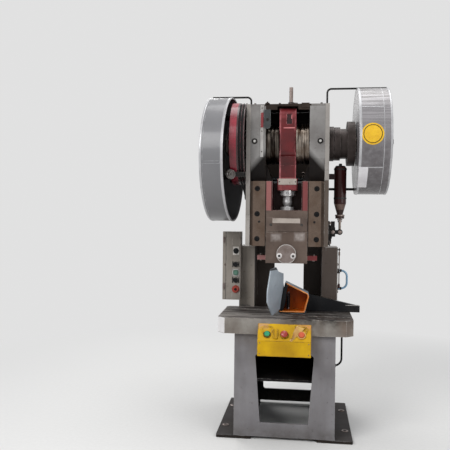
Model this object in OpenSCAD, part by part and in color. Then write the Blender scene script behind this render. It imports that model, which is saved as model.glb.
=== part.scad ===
// C-frame mechanical stamping press. X runs to the right, Y to the back and Z up.
// The origin is on the floor, in the middle of the four anchor holes.

/* [Stand] */
// Width of the stand
stand_w = 700; // [640:5:760]
// Depth of the stand
stand_d = 900; // [860:5:960]
// Height of the stand's top above the floor
stand_top = 740; // [700:5:780]
// Thickness of the stand's walls
stand_t = 16; // [10:1:24]
// Thickness of the foot plates
foot_t = 20; // [14:1:30]
// Width of each foot plate
foot_w = 248; // [200:2:280]
// Distance between the anchor holes, side to side
anchor_dx = 864; // [840:2:900]
// Distance between the anchor holes, front to back
anchor_dy = 480; // [400:5:700]
// Radius of an anchor hole
anchor_r = 13; // [8:0.5:18]
// Height of the shelf in the stand
shelf_z = 405; // [300:5:500]
// Width of the front opening at its widest
door_w = 406; // [320:2:460]
// Width of the front opening at its bottom
door_low_w = 336; // [280:2:400]

/* [Table] */
// Width of the table
table_w = 940; // [860:5:1000]
// Depth of the table
table_d = 580; // [540:5:600]
// Thickness of the table
table_t = 110; // [80:2:140]
// Cut of the table's corners
table_chamfer = 50; // [10:1:70]
// Distance between the two T-slots
slot_gap = 280; // [220:5:320]
// Width of a T-slot's neck
slot_neck = 22; // [16:1:28]
// Width of a T-slot's undercut
slot_wide = 38; // [34:1:48]
// Depth of a T-slot
slot_deep = 40; // [32:1:50]
// Height of a T-slot's undercut
slot_under = 17; // [10:1:22]
// Radius of the hole through the table
bed_hole_r = 60; // [40:1:80]

/* [Frame] */
// Width over the two side plates
frame_w = 588; // [570:2:600]
// Thickness of a side plate
plate_t = 30; // [24:1:34]
// Distance from the slide's centre forward to the head's front
head_fwd = 150; // [146:1:170]
// Distance from the slide's centre back to the column
throat = 330; // [300:5:360]
// Depth of the column
col_d = 300; // [260:5:320]
// Height of the head's top
head_top = 2360; // [2350:1:2420]
// Height of the head's lower edge
head_low = 1346; // [1300:2:1350]
// Distance from the middle of the anchor holes forward to the slide's centre
ram_fwd = 180; // [175:1:190]
// Width of each column cheek
cheek_w = 92; // [70:2:110]
// Height of the column cheeks' top
cheek_top = 1322; // [1250:2:1340]
// Thickness of the back plate
back_t = 16; // [10:1:24]
// Width of the window in the back plate
window_w = 240; // [160:5:320]

/* [Crank and rod] */
// Height of the crank axis
crank_z = 2090; // [2080:1:2100]
// Throw of the crank pin
throw_r = 25; // [20:0.5:26]
// Radius of the main journals
journal_r = 70; // [60:1:74]
// Wall of the main bushes
bush_t = 14; // [8:0.5:16]
// Radius of the crank pin
pin_r = 85; // [78:1:90]
// Wall of the bush on the crank pin
pin_bush_t = 12; // [6:0.5:14]
// Radius of the crank cheeks
cheek_r = 148; // [140:1:149]
// Running clearance of the shafts, radial
run_c = 0.05; // [0.02:0.01:0.08]
// Width of the connecting rod
rod_w = 120; // [100:1:124]
// Depth of the connecting rod's big end
rod_d = 246; // [236:1:250]
// Height of the big end above the crank pin's centre
rod_over = 226; // [180:1:228]
// Depth of the connecting rod's shank
rod_neck = 124; // [100:1:130]
// Width of the connecting rod's lower block
rod_foot_w = 144; // [130:1:160]
// Height of the connecting rod's lower end
rod_low = 1749; // [1745:1:1760]
// Radius of the adjusting screw
screw_r = 34; // [28:1:38]
// Radius of the lock nut
nut_r = 58; // [50:1:64]
// Height of the lock nut
nut_h = 40; // [30:1:46]
// Radius of the ball
ball_r = 40; // [34:1:42]
// Height of the ball's centre
ball_z = 1556; // [1550:1:1560]

/* [Slide] */
// Width of the slide's body
slide_w = 296; // [286:1:304]
// Depth of the slide
slide_d = 280; // [270:1:284]
// Height of the slide's lower face
slide_low = 1225; // [1215:1:1235]
// Height of the slide's top
slide_top = 1811; // [1805:1:1812]
// Width of the pocket in the slide
pocket_w = 208; // [190:1:216]
// Height of the pocket's floor
pocket_z = 1604; // [1600:1:1610]
// Radius of the shank bore
shank_r = 25; // [20:0.5:30]
// Depth of the shank bore
shank_deep = 95; // [70:1:100]
// Radius of the clamp cap
cap_r = 70; // [60:1:76]
// Height of the clamp cap's centre above the slide's lower face
cap_up = 66; // [60:1:70]
// Thickness of the gibs
gib_t = 30; // [22:1:36]
// Sliding clearance of the slide in its guides
slide_c = 0.4; // [0.3:0.05:0.6]
// Radius of a gib screw's head
screw_head_r = 11; // [8:0.5:14]

/* [Drive] */
// Radius of the flywheel
wheel_r = 300; // [290:1:304]
// Width of the flywheel's rim
wheel_w = 100; // [90:1:104]
// Radius of the motor pulley
pulley_r = 60; // [50:1:66]
// Distance from the anchor middle back to the motor's shaft
motor_y = 150; // [140:1:160]
// Height of the motor's shaft
motor_z = 1750; // [1740:1:1760]
// Radius of the motor's body
motor_r = 118; // [100:1:124]
// Height of the motor's shaft above its feet
motor_up = 132; // [128:1:140]
// Number of belts
belt_n = 2; // [1:1:2]
// Width of a belt
belt_w = 17; // [12:0.5:17]

/* [Guards] */
// Radius of the left guard
guard_l_r = 457; // [450:1:470]
// Width of the left guard
guard_l_w = 160; // [140:2:180]
// Turn of the left guard's mouth to the front, in degrees
guard_l_turn = 3.5; // [0:0.5:4]
// Radius of the right guard
guard_r_r = 379; // [360:1:390]
// Width of the right guard
guard_r_w = 215; // [200:1:230]
// Thickness of the guards' sheet
guard_t = 4; // [3:0.5:6]
// Radius of the stay rods
stay_r = 7; // [5:0.5:9]
// Radius of the brake drum
brake_r = 220; // [180:2:230]
// Width of the brake drum
brake_w = 80; // [60:2:100]

/* [Control gear] */
// Width of the control box
box_w = 143; // [130:1:160]
// Height of the control box
box_h = 530; // [480:5:560]
// Depth of the control box
box_d = 108; // [90:2:140]
// Width of the two-hand box
hand_w = 360; // [320:2:400]
// Radius of a push button's cap
button_r = 15; // [12:0.5:18]
// Travel of the push buttons
button_travel = 5; // [3:0.5:7]
// Radius of the trip cylinder
trip_r = 44; // [36:1:46]
// Travel of the trip rod
trip_travel = 20; // [12:1:24]

/* [Hidden] */

$fn = 48;
eps = 0.5;
ram_y = -ram_fwd;
head_y = ram_y - head_fwd;
col_y = ram_y + throat;
col_back = col_y + col_d;
half_frame = frame_w / 2;
half_in = half_frame - plate_t;
table_z = stand_top + table_t;
stand_y = -stand_d / 2;
table_y = ram_y - 300;
seat_c = 0.3;

// Turns a YZ outline into a body between two places along X
module along_x(x0, x1) {
  translate([x0, 0, 0]) rotate([90, 0, 90]) linear_extrude(x1 - x0) children();
}
// Turns an XZ outline into a body between two places along Y
module along_y(y0, y1) {
  translate([0, y1, 0]) rotate([90, 0, 0]) linear_extrude(y1 - y0) children();
}
module rod_x(x0, x1, r) {
  translate([x0, 0, 0]) rotate([0, 90, 0]) cylinder(h = x1 - x0, r = r);
}
module rod_y(y0, y1, r) {
  translate([0, y0, 0]) rotate([-90, 0, 0]) cylinder(h = y1 - y0, r = r);
}
module block(x0, x1, y0, y1, z0, z1) {
  translate([x0, y0, z0]) cube([x1 - x0, y1 - y0, z1 - z0]);
}
// Rectangle with round corners between two corner points
module round_rect(x0, x1, y0, y1, r) {
  translate([x0 + r, y0]) square([x1 - x0 - 2 * r, y1 - y0]);
  translate([x0, y0 + r]) square([x1 - x0, y1 - y0 - 2 * r]);
  for (x = [x0 + r, x1 - r], y = [y0 + r, y1 - r]) translate([x, y]) circle(r);
}
module mirrored(side) {
  if (side < 0) mirror([1, 0, 0]) children();
  else children();
}

// Stand with its foot plates, welded into one piece
foot_out = anchor_dx / 2 + 43;
door_low = 117;
door_high = 608;
door_cut = 24;
module door_outline() {
  polygon([[-door_low_w / 2, door_low], [door_low_w / 2, door_low],
    [door_w / 2, door_high - door_cut], [door_w / 2 - door_cut, door_high],
    [-door_w / 2 + door_cut, door_high], [-door_w / 2, door_high - door_cut]]);
}
module foot_outline(side) {
  r = 12;
  mirrored(side) difference() {
    round_rect(foot_out - foot_w, foot_out, stand_y - 5, -stand_y + 5, r);
    for (y = [-anchor_dy / 2, anchor_dy / 2]) translate([anchor_dx / 2, y]) circle(anchor_r);
  }
}
module base_stand() {
  color([0.74, 0.75, 0.76]) {
    for (side = [-1, 1]) linear_extrude(foot_t) foot_outline(side);
    difference() {
      block(-stand_w / 2, stand_w / 2, stand_y, -stand_y, foot_t, stand_top);
      block(-stand_w / 2 + stand_t, stand_w / 2 - stand_t, stand_y + stand_t,
        -stand_y - stand_t, foot_t - 1, shelf_z);
      block(-stand_w / 2 + stand_t, stand_w / 2 - stand_t, stand_y + stand_t,
        -stand_y - stand_t, shelf_z + stand_t, stand_top - stand_t);
      along_y(stand_y - 1, stand_y + stand_t + 1) door_outline();
      translate([0, ram_y, stand_top - stand_t - 1]) cylinder(h = stand_t + 2, r = bed_hole_r + 12);
      translate([0, -stand_y - stand_t - 1, 0])
        along_y(0, stand_t + 2) round_rect(-door_w / 2, door_w / 2, door_low, shelf_z - 60, 20);
    }
    for (side = [-1, 1]) mirrored(side)
      block(stand_w / 2 - 1, half_frame + cheek_w + 4, col_y - 20, -stand_y, stand_top - 25, stand_top);
  }
}

// Table with two T-slots, cut corners and the hole for the scrap
module table_outline() {
  c = table_chamfer;
  w = table_w / 2;
  polygon([[-w + c, table_y], [w - c, table_y], [w, table_y + c],
    [w, table_y + table_d - c / 2], [w - c / 2, table_y + table_d],
    [-w + c / 2, table_y + table_d], [-w, table_y + table_d - c / 2], [-w, table_y + c]]);
}
module slot_cut(y) {
  block(-table_w, table_w, y - slot_neck / 2, y + slot_neck / 2, table_z - slot_deep, table_z + 1);
  block(-table_w, table_w, y - slot_wide / 2, y + slot_wide / 2,
    table_z - slot_deep, table_z - slot_deep + slot_under);
}
module table() {
  color([0.52, 0.49, 0.46]) difference() {
    translate([0, 0, stand_top]) linear_extrude(table_t) table_outline();
    for (y = [ram_y - slot_gap / 2, ram_y + slot_gap / 2]) slot_cut(y);
    translate([0, ram_y, stand_top - 1]) cylinder(h = table_t + 2, r = bed_hole_r);
  }
}

// Side plates: a C outline, and the column cheek on the outside
throat_r = 60;
main_r = journal_r + bush_t;
motor_hole_r = 36;
module plate_outline() {
  difference() {
    polygon([[head_y, head_low], [head_y, head_top], [col_back, head_top],
      [col_back, stand_top], [col_y, stand_top], [col_y, head_low]]);
    translate([ram_y, crank_z]) circle(main_r);
  }
  difference() {
    translate([col_y - throat_r, head_low - throat_r]) square(throat_r);
    translate([col_y - throat_r, head_low - throat_r]) circle(throat_r);
  }
}
cheek_t = 12;
module cheek() {
  x1 = half_frame + cheek_w;
  difference() {
    translate([0, 0, stand_top]) linear_extrude(cheek_top - stand_top)
      round_rect(half_frame - 20, x1, col_y, col_back, 10);
    block(0, half_frame, col_y - 1, col_back + 1, 0, head_top);
    block(half_frame - 1, x1 - cheek_t, col_y + cheek_t, col_back - cheek_t,
      stand_top - 1, cheek_top - cheek_t);
  }
}
module side_plate(side) {
  mirrored(side) {
    difference() {
      along_x(half_in, half_frame) plate_outline();
      if (side < 0) translate([0, motor_y, motor_z]) rod_x(half_in - 1, half_frame + 1, motor_hole_r);
    }
    cheek();
  }
}
module side_plate_left() {
  color([0.78, 0.79, 0.79]) side_plate(-1);
}
module side_plate_right() {
  color([0.78, 0.79, 0.79]) side_plate(1);
}

// Back plate with its window, with the floor of the head and the motor's shelf welded on
window_low = stand_top + table_t + 10;
floor_y = ram_y + slide_d / 2 + 40;
floor_t = 20;
shelf_t = 20;
motor_floor = motor_z - motor_up;
module back_plate() {
  color([0.45, 0.44, 0.43]) {
    along_y(col_back - back_t, col_back) difference() {
      translate([-half_in, stand_top]) square([2 * half_in, head_top - 60 - stand_top]);
      round_rect(-window_w / 2, window_w / 2, window_low, head_low - 50, 20);
    }
    block(-half_in, half_in, floor_y, col_back - back_t + 1, head_low, head_low + floor_t);
    block(-half_in, half_in, motor_y - 130, col_back - back_t + 1, motor_floor - shelf_t, motor_floor);
  }
}

// Bearing blocks with the sloped chin and the flared inner edge
block_in = 155;
block_d = 2 * head_fwd;
chin_z = 1975;
chin_back = 62;
flare_in = 107;
flare_z = crank_z - cheek_r - 4;
gib_top = slide_top;
module bearing_block() {
  y1 = head_y + block_d;
  difference() {
    union() {
      along_x(block_in, half_in) polygon([[head_y, chin_z], [head_y, head_top - 15],
        [y1, head_top - 15], [y1, chin_z], [y1 - chin_back, gib_top + seat_c],
        [head_y + chin_back, gib_top + seat_c]]);
      along_y(head_y + chin_back, y1 - chin_back)
        polygon([[block_in + 1, flare_z], [block_in, flare_z], [flare_in, gib_top + seat_c],
          [block_in + 1, gib_top + seat_c]]);
    }
    translate([0, ram_y, crank_z]) rod_x(0, half_frame, main_r);
  }
}
module bearing_block_left() {
  color([0.72, 0.73, 0.74]) mirrored(-1) bearing_block();
}
module bearing_block_right() {
  color([0.72, 0.73, 0.74]) bearing_block();
}
module main_bush() {
  translate([0, ram_y, crank_z]) difference() {
    rod_x(block_in, half_frame, main_r);
    rod_x(0, half_frame + 1, journal_r + run_c);
  }
}
module main_bush_left() {
  color([0.72, 0.55, 0.28]) mirrored(-1) main_bush();
}
module main_bush_right() {
  color([0.72, 0.55, 0.28]) main_bush();
}
cover_t = 15;
module top_cover() {
  color([0.42, 0.38, 0.35])
    block(-half_in, half_in, head_y + 6, head_y + block_d, head_top - cover_t, head_top);
}
top_rod_x = 18;
top_rod_r = 14;
module top_rod() {
  color([0.45, 0.42, 0.42]) translate([top_rod_x, ram_y, head_top]) {
    cylinder(h = 145, r = top_rod_r);
    translate([-12, 0, 0]) cylinder(h = 22, r = 24, $fn = 6);
  }
}

// Guides: the block that holds the slide's tongue from the side and back, and the gib
tongue_x = 190;
tongue_back = 90;
tongue_front = 26;
gib_in = 154;
gib_out = 242;
gib_y = head_y + 5;
module guide_block() {
  f = gib_y + gib_t;
  b = ram_y + slide_d / 2;
  translate([0, 0, head_low]) linear_extrude(gib_top - head_low)
    polygon([[half_in, f], [tongue_x + slide_c, f], [tongue_x + slide_c, b - 50 + slide_c],
      [slide_w / 2 + slide_c, b - 50 + slide_c], [slide_w / 2 + slide_c, b], [half_in, b]]);
}
module guide_block_left() {
  color([0.5, 0.46, 0.42]) mirrored(-1) guide_block();
}
module guide_block_right() {
  color([0.5, 0.46, 0.42]) guide_block();
}
gib_screw_z = [head_low + 51, head_low + 230, head_low + 411];
gib_screw_x = 211;
small_screw_x = 196;
small_screw_z = head_low + 174;
module gib() {
  difference() {
    block(gib_in, gib_out, gib_y, gib_y + gib_t, head_low, gib_top);
    for (z = gib_screw_z) translate([gib_screw_x, 0, z]) rod_y(gib_y - 1, gib_y + 12, screw_head_r + 2);
    translate([small_screw_x, 0, small_screw_z]) rod_y(gib_y - 1, gib_y + 6, 6);
  }
}
module gib_left() {
  color([0.56, 0.5, 0.45]) mirrored(-1) gib();
}
module gib_right() {
  color([0.56, 0.5, 0.45]) gib();
}
module gib_screws() {
  color([0.2, 0.19, 0.19]) for (side = [-1, 1]) mirrored(side) {
    for (z = gib_screw_z) translate([gib_screw_x, 0, z]) difference() {
      rod_y(gib_y + 1, gib_y + 12, screw_head_r);
      translate([0, gib_y, 0]) rotate([-90, 0, 0]) cylinder(h = 6, r = screw_head_r / 2, $fn = 6);
    }
    translate([small_screw_x, 0, small_screw_z]) rod_y(gib_y + 1, gib_y + 6, 5);
  }
}

// Crankshaft: journals, two grooved cheeks and the eccentric pin; the pin stands on top
cheek_out = block_in - 0.5;
cheek_in = rod_w / 2 + 0.5;
wheel_seat_r = journal_r - 8;
wheel_x = half_frame + 6;
shaft_left = wheel_x + wheel_w + 60;
right_seat_r = journal_r - 15;
shaft_right = 650;
module crank_cheek() {
  difference() {
    rod_x(cheek_in, cheek_out, cheek_r);
    for (x = [cheek_in + 25, cheek_in + 54]) difference() {
      rod_x(x, x + 9, cheek_r + 1);
      rod_x(x - 1, x + 10, cheek_r - 10);
    }
  }
}
module crankshaft() {
  color([0.75, 0.75, 0.76]) {
    translate([0, ram_y, crank_z]) {
      for (side = [-1, 1]) mirrored(side) {
        crank_cheek();
        rod_x(cheek_out - 1, half_frame + 2, journal_r);
      }
      rod_x(half_frame + 2, shaft_right, right_seat_r);
      rod_x(-shaft_left, -half_frame - 2, wheel_seat_r);
    }
    translate([0, ram_y, crank_z + throw_r]) rod_x(-cheek_in, cheek_in, pin_r);
  }
}

// Connecting rod with its big end, its front pocket and its lower block
pin_z = crank_z + throw_r;
rod_bore_r = pin_r + pin_bush_t;
rod_bevel = 8;
big_low = pin_z - 130;
module rod_side_outline() {
  h = rod_d / 2;
  n = rod_neck / 2;
  round_rect(ram_y - h, ram_y + h, big_low, pin_z + rod_over, 50);
  polygon([[ram_y - h, big_low + 50], [ram_y + h, big_low + 50], [ram_y + n, big_low - 55],
    [ram_y + n, rod_low], [ram_y - n, rod_low], [ram_y - n, big_low - 55]]);
}
module rod_plan(w, d) {
  c = rod_bevel;
  polygon([[-w / 2, -d / 2 + c], [-w / 2 + c, -d / 2], [w / 2 - c, -d / 2], [w / 2, -d / 2 + c],
    [w / 2, d / 2 - c], [w / 2 - c, d / 2], [-w / 2 + c, d / 2], [-w / 2, d / 2 - c]]);
}
module connecting_rod() {
  color([0.45, 0.12, 0.13]) difference() {
    union() {
      intersection() {
        along_x(-rod_w / 2, rod_w / 2) rod_side_outline();
        translate([0, ram_y, rod_low]) linear_extrude(1000) rod_plan(rod_w, rod_d);
      }
      translate([0, ram_y, rod_low]) linear_extrude(85) rod_plan(rod_foot_w, rod_neck + 8);
    }
    translate([0, ram_y, pin_z]) rod_x(-rod_w, rod_w, rod_bore_r);
    translate([0, ram_y, rod_low - 1]) cylinder(h = 151, r = screw_r);
    block(-8, 30, ram_y - rod_d, ram_y - rod_d / 2 + 14, pin_z + rod_bore_r + 8, pin_z + 180);
  }
}
module rod_bush() {
  color([0.72, 0.55, 0.28]) translate([0, ram_y, pin_z]) difference() {
    rod_x(-rod_w / 2, rod_w / 2, rod_bore_r);
    rod_x(-rod_w, rod_w, pin_r + run_c);
  }
}
module lock_nut() {
  color([0.88, 0.88, 0.88]) translate([0, ram_y, rod_low - nut_h]) difference() {
    cylinder(h = nut_h, r = nut_r);
    translate([0, 0, -1]) cylinder(h = nut_h + 2, r = screw_r);
    for (a = [0 : 90 : 270]) rotate([0, 0, a + 45])
      translate([nut_r - 6, -7, -1]) cube([12, 14, nut_h + 2]);
  }
}
neck_r = 24;
grip_z = rod_low - nut_h - 45;
module ball_screw() {
  color([0.7, 0.69, 0.67]) translate([0, ram_y, 0]) rotate_extrude() intersection() {
    union() {
      translate([0, grip_z]) square([screw_r, rod_low + 140 - grip_z]);
      translate([0, grip_z]) circle(screw_r + 2);
      translate([0, ball_z]) square([neck_r, grip_z - ball_z]);
      translate([0, ball_z]) circle(ball_r);
    }
    translate([0, ball_z - ball_r + 6]) square([200, 1000]);
  }
}

// Slide: pocket for the rod, tongues for the guides, arch for the clamp cap and two lugs
lug_out = 220;
lug_t = 34;
lug_z = slide_low + 12;
swing = throw_r + 1;
sink = 7;
step_z = slide_low + 221;
module seat_cut() {
  r = ball_r + sink;
  translate([0, ram_y, ball_z]) {
    translate([-r, -r, 0]) cube([2 * r, 2 * r + swing, pocket_z - ball_z + 1]);
    translate([0, 0, 0]) rotate([-90, 0, 0]) cylinder(h = r + swing, r = r);
    rotate([90, 0, 0]) cylinder(h = r, r = r);
  }
}
module slide() {
  f = ram_y - slide_d / 2;
  b = ram_y + slide_d / 2;
  w = slide_w / 2;
  color([0.62, 0.38, 0.38]) difference() {
    union() {
      block(-w, w, f, b, slide_low, slide_top);
      for (side = [-1, 1]) mirrored(side) {
        block(w - 1, tongue_x, gib_y + gib_t + slide_c, b - 50, head_low + 4, slide_top);
        block(w - 1, lug_out, ram_y + 20, b - 20, lug_z, lug_z + lug_t);
      }
    }
    block(-pocket_w / 2, pocket_w / 2, f - 1, b - 30, pocket_z, slide_top + 1);
    seat_cut();
    along_y(f - 1, ram_y) cap_outline(cap_r + seat_c);
    translate([0, ram_y, slide_low - 1]) cylinder(h = shank_deep + 1, r = shank_r);
    block(-w - 1, w + 1, f - 1, f + 6, step_z, slide_top + 1);
    for (side = [-1, 1]) translate([side * (lug_out - 25), ram_y + 70, lug_z - 1])
      cylinder(h = lug_t + 2, r = 9);
  }
}
ring_out = 52;
ring_t = 26;
module ball_ring() {
  g = neck_r + 3;
  color([0.72, 0.7, 0.68]) translate([0, ram_y, pocket_z]) linear_extrude(ring_t) difference() {
    union() {
      circle(ring_out);
      translate([0, swing]) circle(ring_out);
      translate([-ring_out, 0]) square([2 * ring_out, swing]);
    }
    circle(g);
    translate([0, swing]) circle(g);
    translate([-g, 0]) square([2 * g, swing]);
  }
}
module cap_outline(r) {
  intersection() {
    translate([0, slide_low + cap_up]) circle(r);
    translate([-r, slide_low - 1]) square([2 * r, 2 * r + 2]);
  }
}
cap_bolt_x = 49;
cap_front = 16;
module clamp_cap() {
  f = ram_y - slide_d / 2 - cap_front;
  color([0.55, 0.52, 0.5]) difference() {
    along_y(f, ram_y - 1) intersection() {
      cap_outline(cap_r);
      translate([-cap_r, slide_low]) square([2 * cap_r, 2 * cap_r]);
    }
    translate([0, ram_y, slide_low - 1]) cylinder(h = shank_deep + 1, r = shank_r);
  }
}
module clamp_bolts() {
  f = ram_y - slide_d / 2 - cap_front;
  color([0.8, 0.8, 0.8]) for (side = [-1, 1])
    translate([side * cap_bolt_x, f, slide_low + 53]) rotate([90, 0, 0]) difference() {
      cylinder(h = 14, r = 13);
      translate([0, 0, 8]) cylinder(h = 7, r = 6, $fn = 6);
    }
}

// Flywheel with its rim, web and hub, and the belt grooves next to the frame
belt_pitch = belt_w + 2;
belt_x = wheel_x + 4;
belt_t = 11;
belt_r = wheel_r - 8;
web_t = 24;
hub_r = 105;
module flywheel() {
  x0 = wheel_x;
  x1 = wheel_x + wheel_w;
  color([0.5, 0.1, 0.13]) translate([0, ram_y, crank_z]) mirrored(-1) difference() {
    union() {
      rod_x(x0, x1, wheel_r);
      rod_x(x1 - 1, x1 + 30, hub_r);
    }
    difference() {
      union() {
        rod_x(x0 - 1, x0 + wheel_w / 2 - web_t / 2, wheel_r - 50);
        rod_x(x0 + wheel_w / 2 + web_t / 2, x1 + 1, wheel_r - 50);
      }
      rod_x(x0 - 2, x1 + 2, hub_r);
    }
    for (i = [0 : belt_n - 1]) difference() {
      rod_x(belt_x + i * belt_pitch, belt_x + i * belt_pitch + belt_w, wheel_r + 1);
      rod_x(belt_x + i * belt_pitch - 1, belt_x + i * belt_pitch + belt_w + 1, belt_r - belt_t);
    }
    for (a = [0 : 60 : 300]) rotate([a, 0, 0]) translate([0, 0, 178]) rod_x(x0 - 1, x1 + 1, 38);
    rod_x(x0 - 1, x1 + 40, wheel_seat_r + run_c);
  }
}
// Outline of a loop round the flywheel and the motor pulley
drop = [motor_y - ram_y, motor_z - crank_z];
span = norm(drop);
module loop_outline(r1, r2) {
  a = atan2(drop[1], drop[0]);
  t = acos((r1 - r2) / span);
  circle(r1);
  translate(drop) circle(r2);
  e = 0.08;
  polygon([for (p = [[r1 - e, a + t, 0], [r2 - e, a + t, 1], [r2 - e, a - t, 1], [r1 - e, a - t, 0]])
    [p[0] * cos(p[1]) + p[2] * drop[0], p[0] * sin(p[1]) + p[2] * drop[1]]]);
}
belt_in = belt_r - belt_t + 0.4;
pulley_in = pulley_r - belt_t + 0.4;
module drive_belts() {
  color([0.1, 0.1, 0.1]) mirrored(-1) for (i = [0 : belt_n - 1])
    translate([0, ram_y, crank_z])
      along_x(belt_x + i * belt_pitch + 0.5, belt_x + i * belt_pitch + belt_w - 0.5)
        difference() {
          loop_outline(belt_in + belt_t, pulley_in + belt_t);
          loop_outline(belt_in, pulley_in);
        }
}

// Motor between the side plates on its shelf, with its pulley outside
motor_l = 380;
module motor() {
  color([0.36, 0.42, 0.46]) {
    translate([0, motor_y, motor_z]) {
      rod_x(-motor_l / 2, motor_l / 2, motor_r - 12);
      rod_x(motor_l / 2 - 1, motor_l / 2 + 40, motor_r - 4);
      rod_x(-motor_l / 2 - 24, -motor_l / 2 + 1, motor_r);
    }
    for (k = [0 : 11]) translate([0, motor_y, motor_z]) rotate([k * 30, 0, 0])
      block(-motor_l / 2, motor_l / 2, -3, 3, motor_r - 20, motor_r);
    for (x = [-140, 100]) block(x, x + 50, motor_y - 108, motor_y + 108, motor_floor,
      motor_floor + 40);
  }
}
module motor_pulley() {
  x0 = belt_x - 3;
  x1 = belt_x + 2 * belt_pitch + 4;
  color([0.3, 0.3, 0.31]) translate([0, motor_y, motor_z]) mirrored(-1) difference() {
    union() {
      rod_x(motor_l / 2 + 24 + seat_c, x1 + 8, 19);
      rod_x(x0, x1, pulley_r);
    }
    for (i = [0 : belt_n - 1]) difference() {
      rod_x(belt_x + i * belt_pitch, belt_x + i * belt_pitch + belt_w, pulley_r + 1);
      rod_x(belt_x + i * belt_pitch - 1, belt_x + i * belt_pitch + belt_w + 1, pulley_r - belt_t);
    }
  }
}

// Left guard: an open drum, its mouth turned a little to the front, on two studs
guard_l_y = ram_y + 50;
guard_l_z = crank_z - 111;
guard_l_x = wheel_x + wheel_w + 8;
module left_guard() {
  color([0.62, 0.64, 0.66]) translate([-guard_l_x, guard_l_y, guard_l_z])
    rotate([0, 0, -guard_l_turn]) rotate([0, -90, 0]) rotate_extrude($fn = 96) {
      translate([guard_l_r - guard_t, 0]) square([guard_t, guard_l_w]);
      translate([0, guard_l_w - guard_t]) square([guard_l_r, guard_t]);
      translate([guard_l_r - 3, 0]) circle(6);
    }
}
stud_high = [60, crank_z + 235];
stud_low = [100, crank_z - 225];
stud_end = guard_l_w - guard_t;
module stud(p, r, knob) {
  y = p[0] - guard_l_y;
  x1 = guard_l_x + (stud_end - y * sin(guard_l_turn)) / cos(guard_l_turn);
  translate([0, p[0], p[1]]) mirrored(-1) {
    rod_x(half_frame, x1 - r * sin(guard_l_turn) - seat_c, r);
    if (knob > 0) rod_x(guard_l_x + 25, guard_l_x + 50, knob);
  }
}
module left_guard_studs() {
  color([0.25, 0.25, 0.26]) {
    stud(stud_high, 20, 0);
    stud(stud_low, 16, 42);
  }
}
// Bent stay rods from the head's top to the guards
module bent_stay(x_leg, x_end, y, z0, z1) {
  r = 30;
  translate([0, y, 0]) {
    translate([x_leg, 0, z0]) cylinder(h = z1 - r - z0, r = stay_r);
    translate([x_leg + r, 0, z1 - r]) rotate([90, 0, 0]) rotate([0, 0, 90])
      rotate_extrude(angle = 90) translate([r, 0]) circle(stay_r, $fn = 24);
    translate([0, 0, z1]) rod_x(x_leg + r, x_end, stay_r);
  }
}
leg_x = half_frame - plate_t / 2;
module stay_left() {
  color([0.08, 0.08, 0.08]) mirrored(-1)
    bent_stay(leg_x, guard_l_x + guard_l_w, guard_l_y, head_top,
      guard_l_z + guard_l_r + stay_r + seat_c + 3);
}
guard_r_x = 485;
module stay_right() {
  color([0.08, 0.08, 0.08])
    bent_stay(leg_x, guard_r_x + guard_r_w, ram_y, head_top, crank_z + 14 + guard_r_r + stay_r + seat_c);
}

// Right side of the crank: cover, trip disc, brake drum and band, and the closed guard
cover_r = 125;
cover_w = 34;
module bearing_cover() {
  color([0.16, 0.15, 0.15]) translate([0, ram_y, crank_z]) difference() {
    rod_x(half_frame, half_frame + cover_w, cover_r);
    rod_x(half_frame - 1, half_frame + cover_w + 1, journal_r + 4);
  }
}
disc_x = half_frame + cover_w + 3;
module trip_disc() {
  color([0.2, 0.18, 0.18]) translate([0, ram_y, crank_z]) difference() {
    union() {
      rod_x(disc_x, disc_x + 42, 120);
      rod_x(disc_x + 41, disc_x + 92, 108);
      rod_x(disc_x + 91, disc_x + 145, 160);
    }
    rod_x(disc_x - 1, disc_x + 146, right_seat_r);
    translate([0, 0, 160]) block(disc_x + 90, disc_x + 146, -16, 16, -22, 10);
  }
}
drum_x = guard_r_x + 30;
module brake_drum() {
  color([0.4, 0.4, 0.41]) translate([0, ram_y, crank_z]) difference() {
    union() {
      rod_x(drum_x, drum_x + brake_w, brake_r);
      rod_x(drum_x + brake_w - 1, drum_x + brake_w + 20, 90);
    }
    difference() {
      rod_x(drum_x + 20, drum_x + brake_w + 1, brake_r - 18);
      rod_x(drum_x, drum_x + brake_w + 2, 90);
    }
    rod_x(drum_x - 1, drum_x + brake_w + 30, right_seat_r);
  }
}
band_t = 8;
guard_r_z = crank_z + 14;
module brake_band() {
  r0 = brake_r + seat_c + 0.2;
  color([0.2, 0.2, 0.2]) {
    translate([0, ram_y, crank_z]) difference() {
      rod_x(drum_x + 5, drum_x + brake_w - 5, r0 + band_t);
      rod_x(drum_x, drum_x + brake_w, r0);
      block(drum_x, drum_x + brake_w, -12, 12, -r0 - band_t - 1, -r0 + 20);
    }
    for (s = [-1, 1]) translate([0, ram_y + s * 16, crank_z])
      block(guard_r_x + guard_t, drum_x + brake_w - 5, -3.5, 3.5, -r0 - 60, -r0 - 2);
  }
}
anchor_y = ram_y + 80;
anchor_z = 1765;
module brake_anchor() {
  color([0.08, 0.08, 0.08])
    block(half_frame, guard_r_x, anchor_y - 9, anchor_y + 9, anchor_z - 9, anchor_z + 9);
}
module right_guard() {
  color([0.63, 0.65, 0.67]) translate([guard_r_x, ram_y, guard_r_z])
    rotate([0, 90, 0]) rotate_extrude($fn = 96) difference() {
      square([guard_r_r, guard_r_w]);
      translate([-1, guard_t]) square([guard_r_r - guard_t + 1, guard_r_w - 2 * guard_t]);
      translate([-1, -1]) square([right_seat_r + 21, guard_t + 2]);
    }
}
guard_cap_r = 129;
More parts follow.
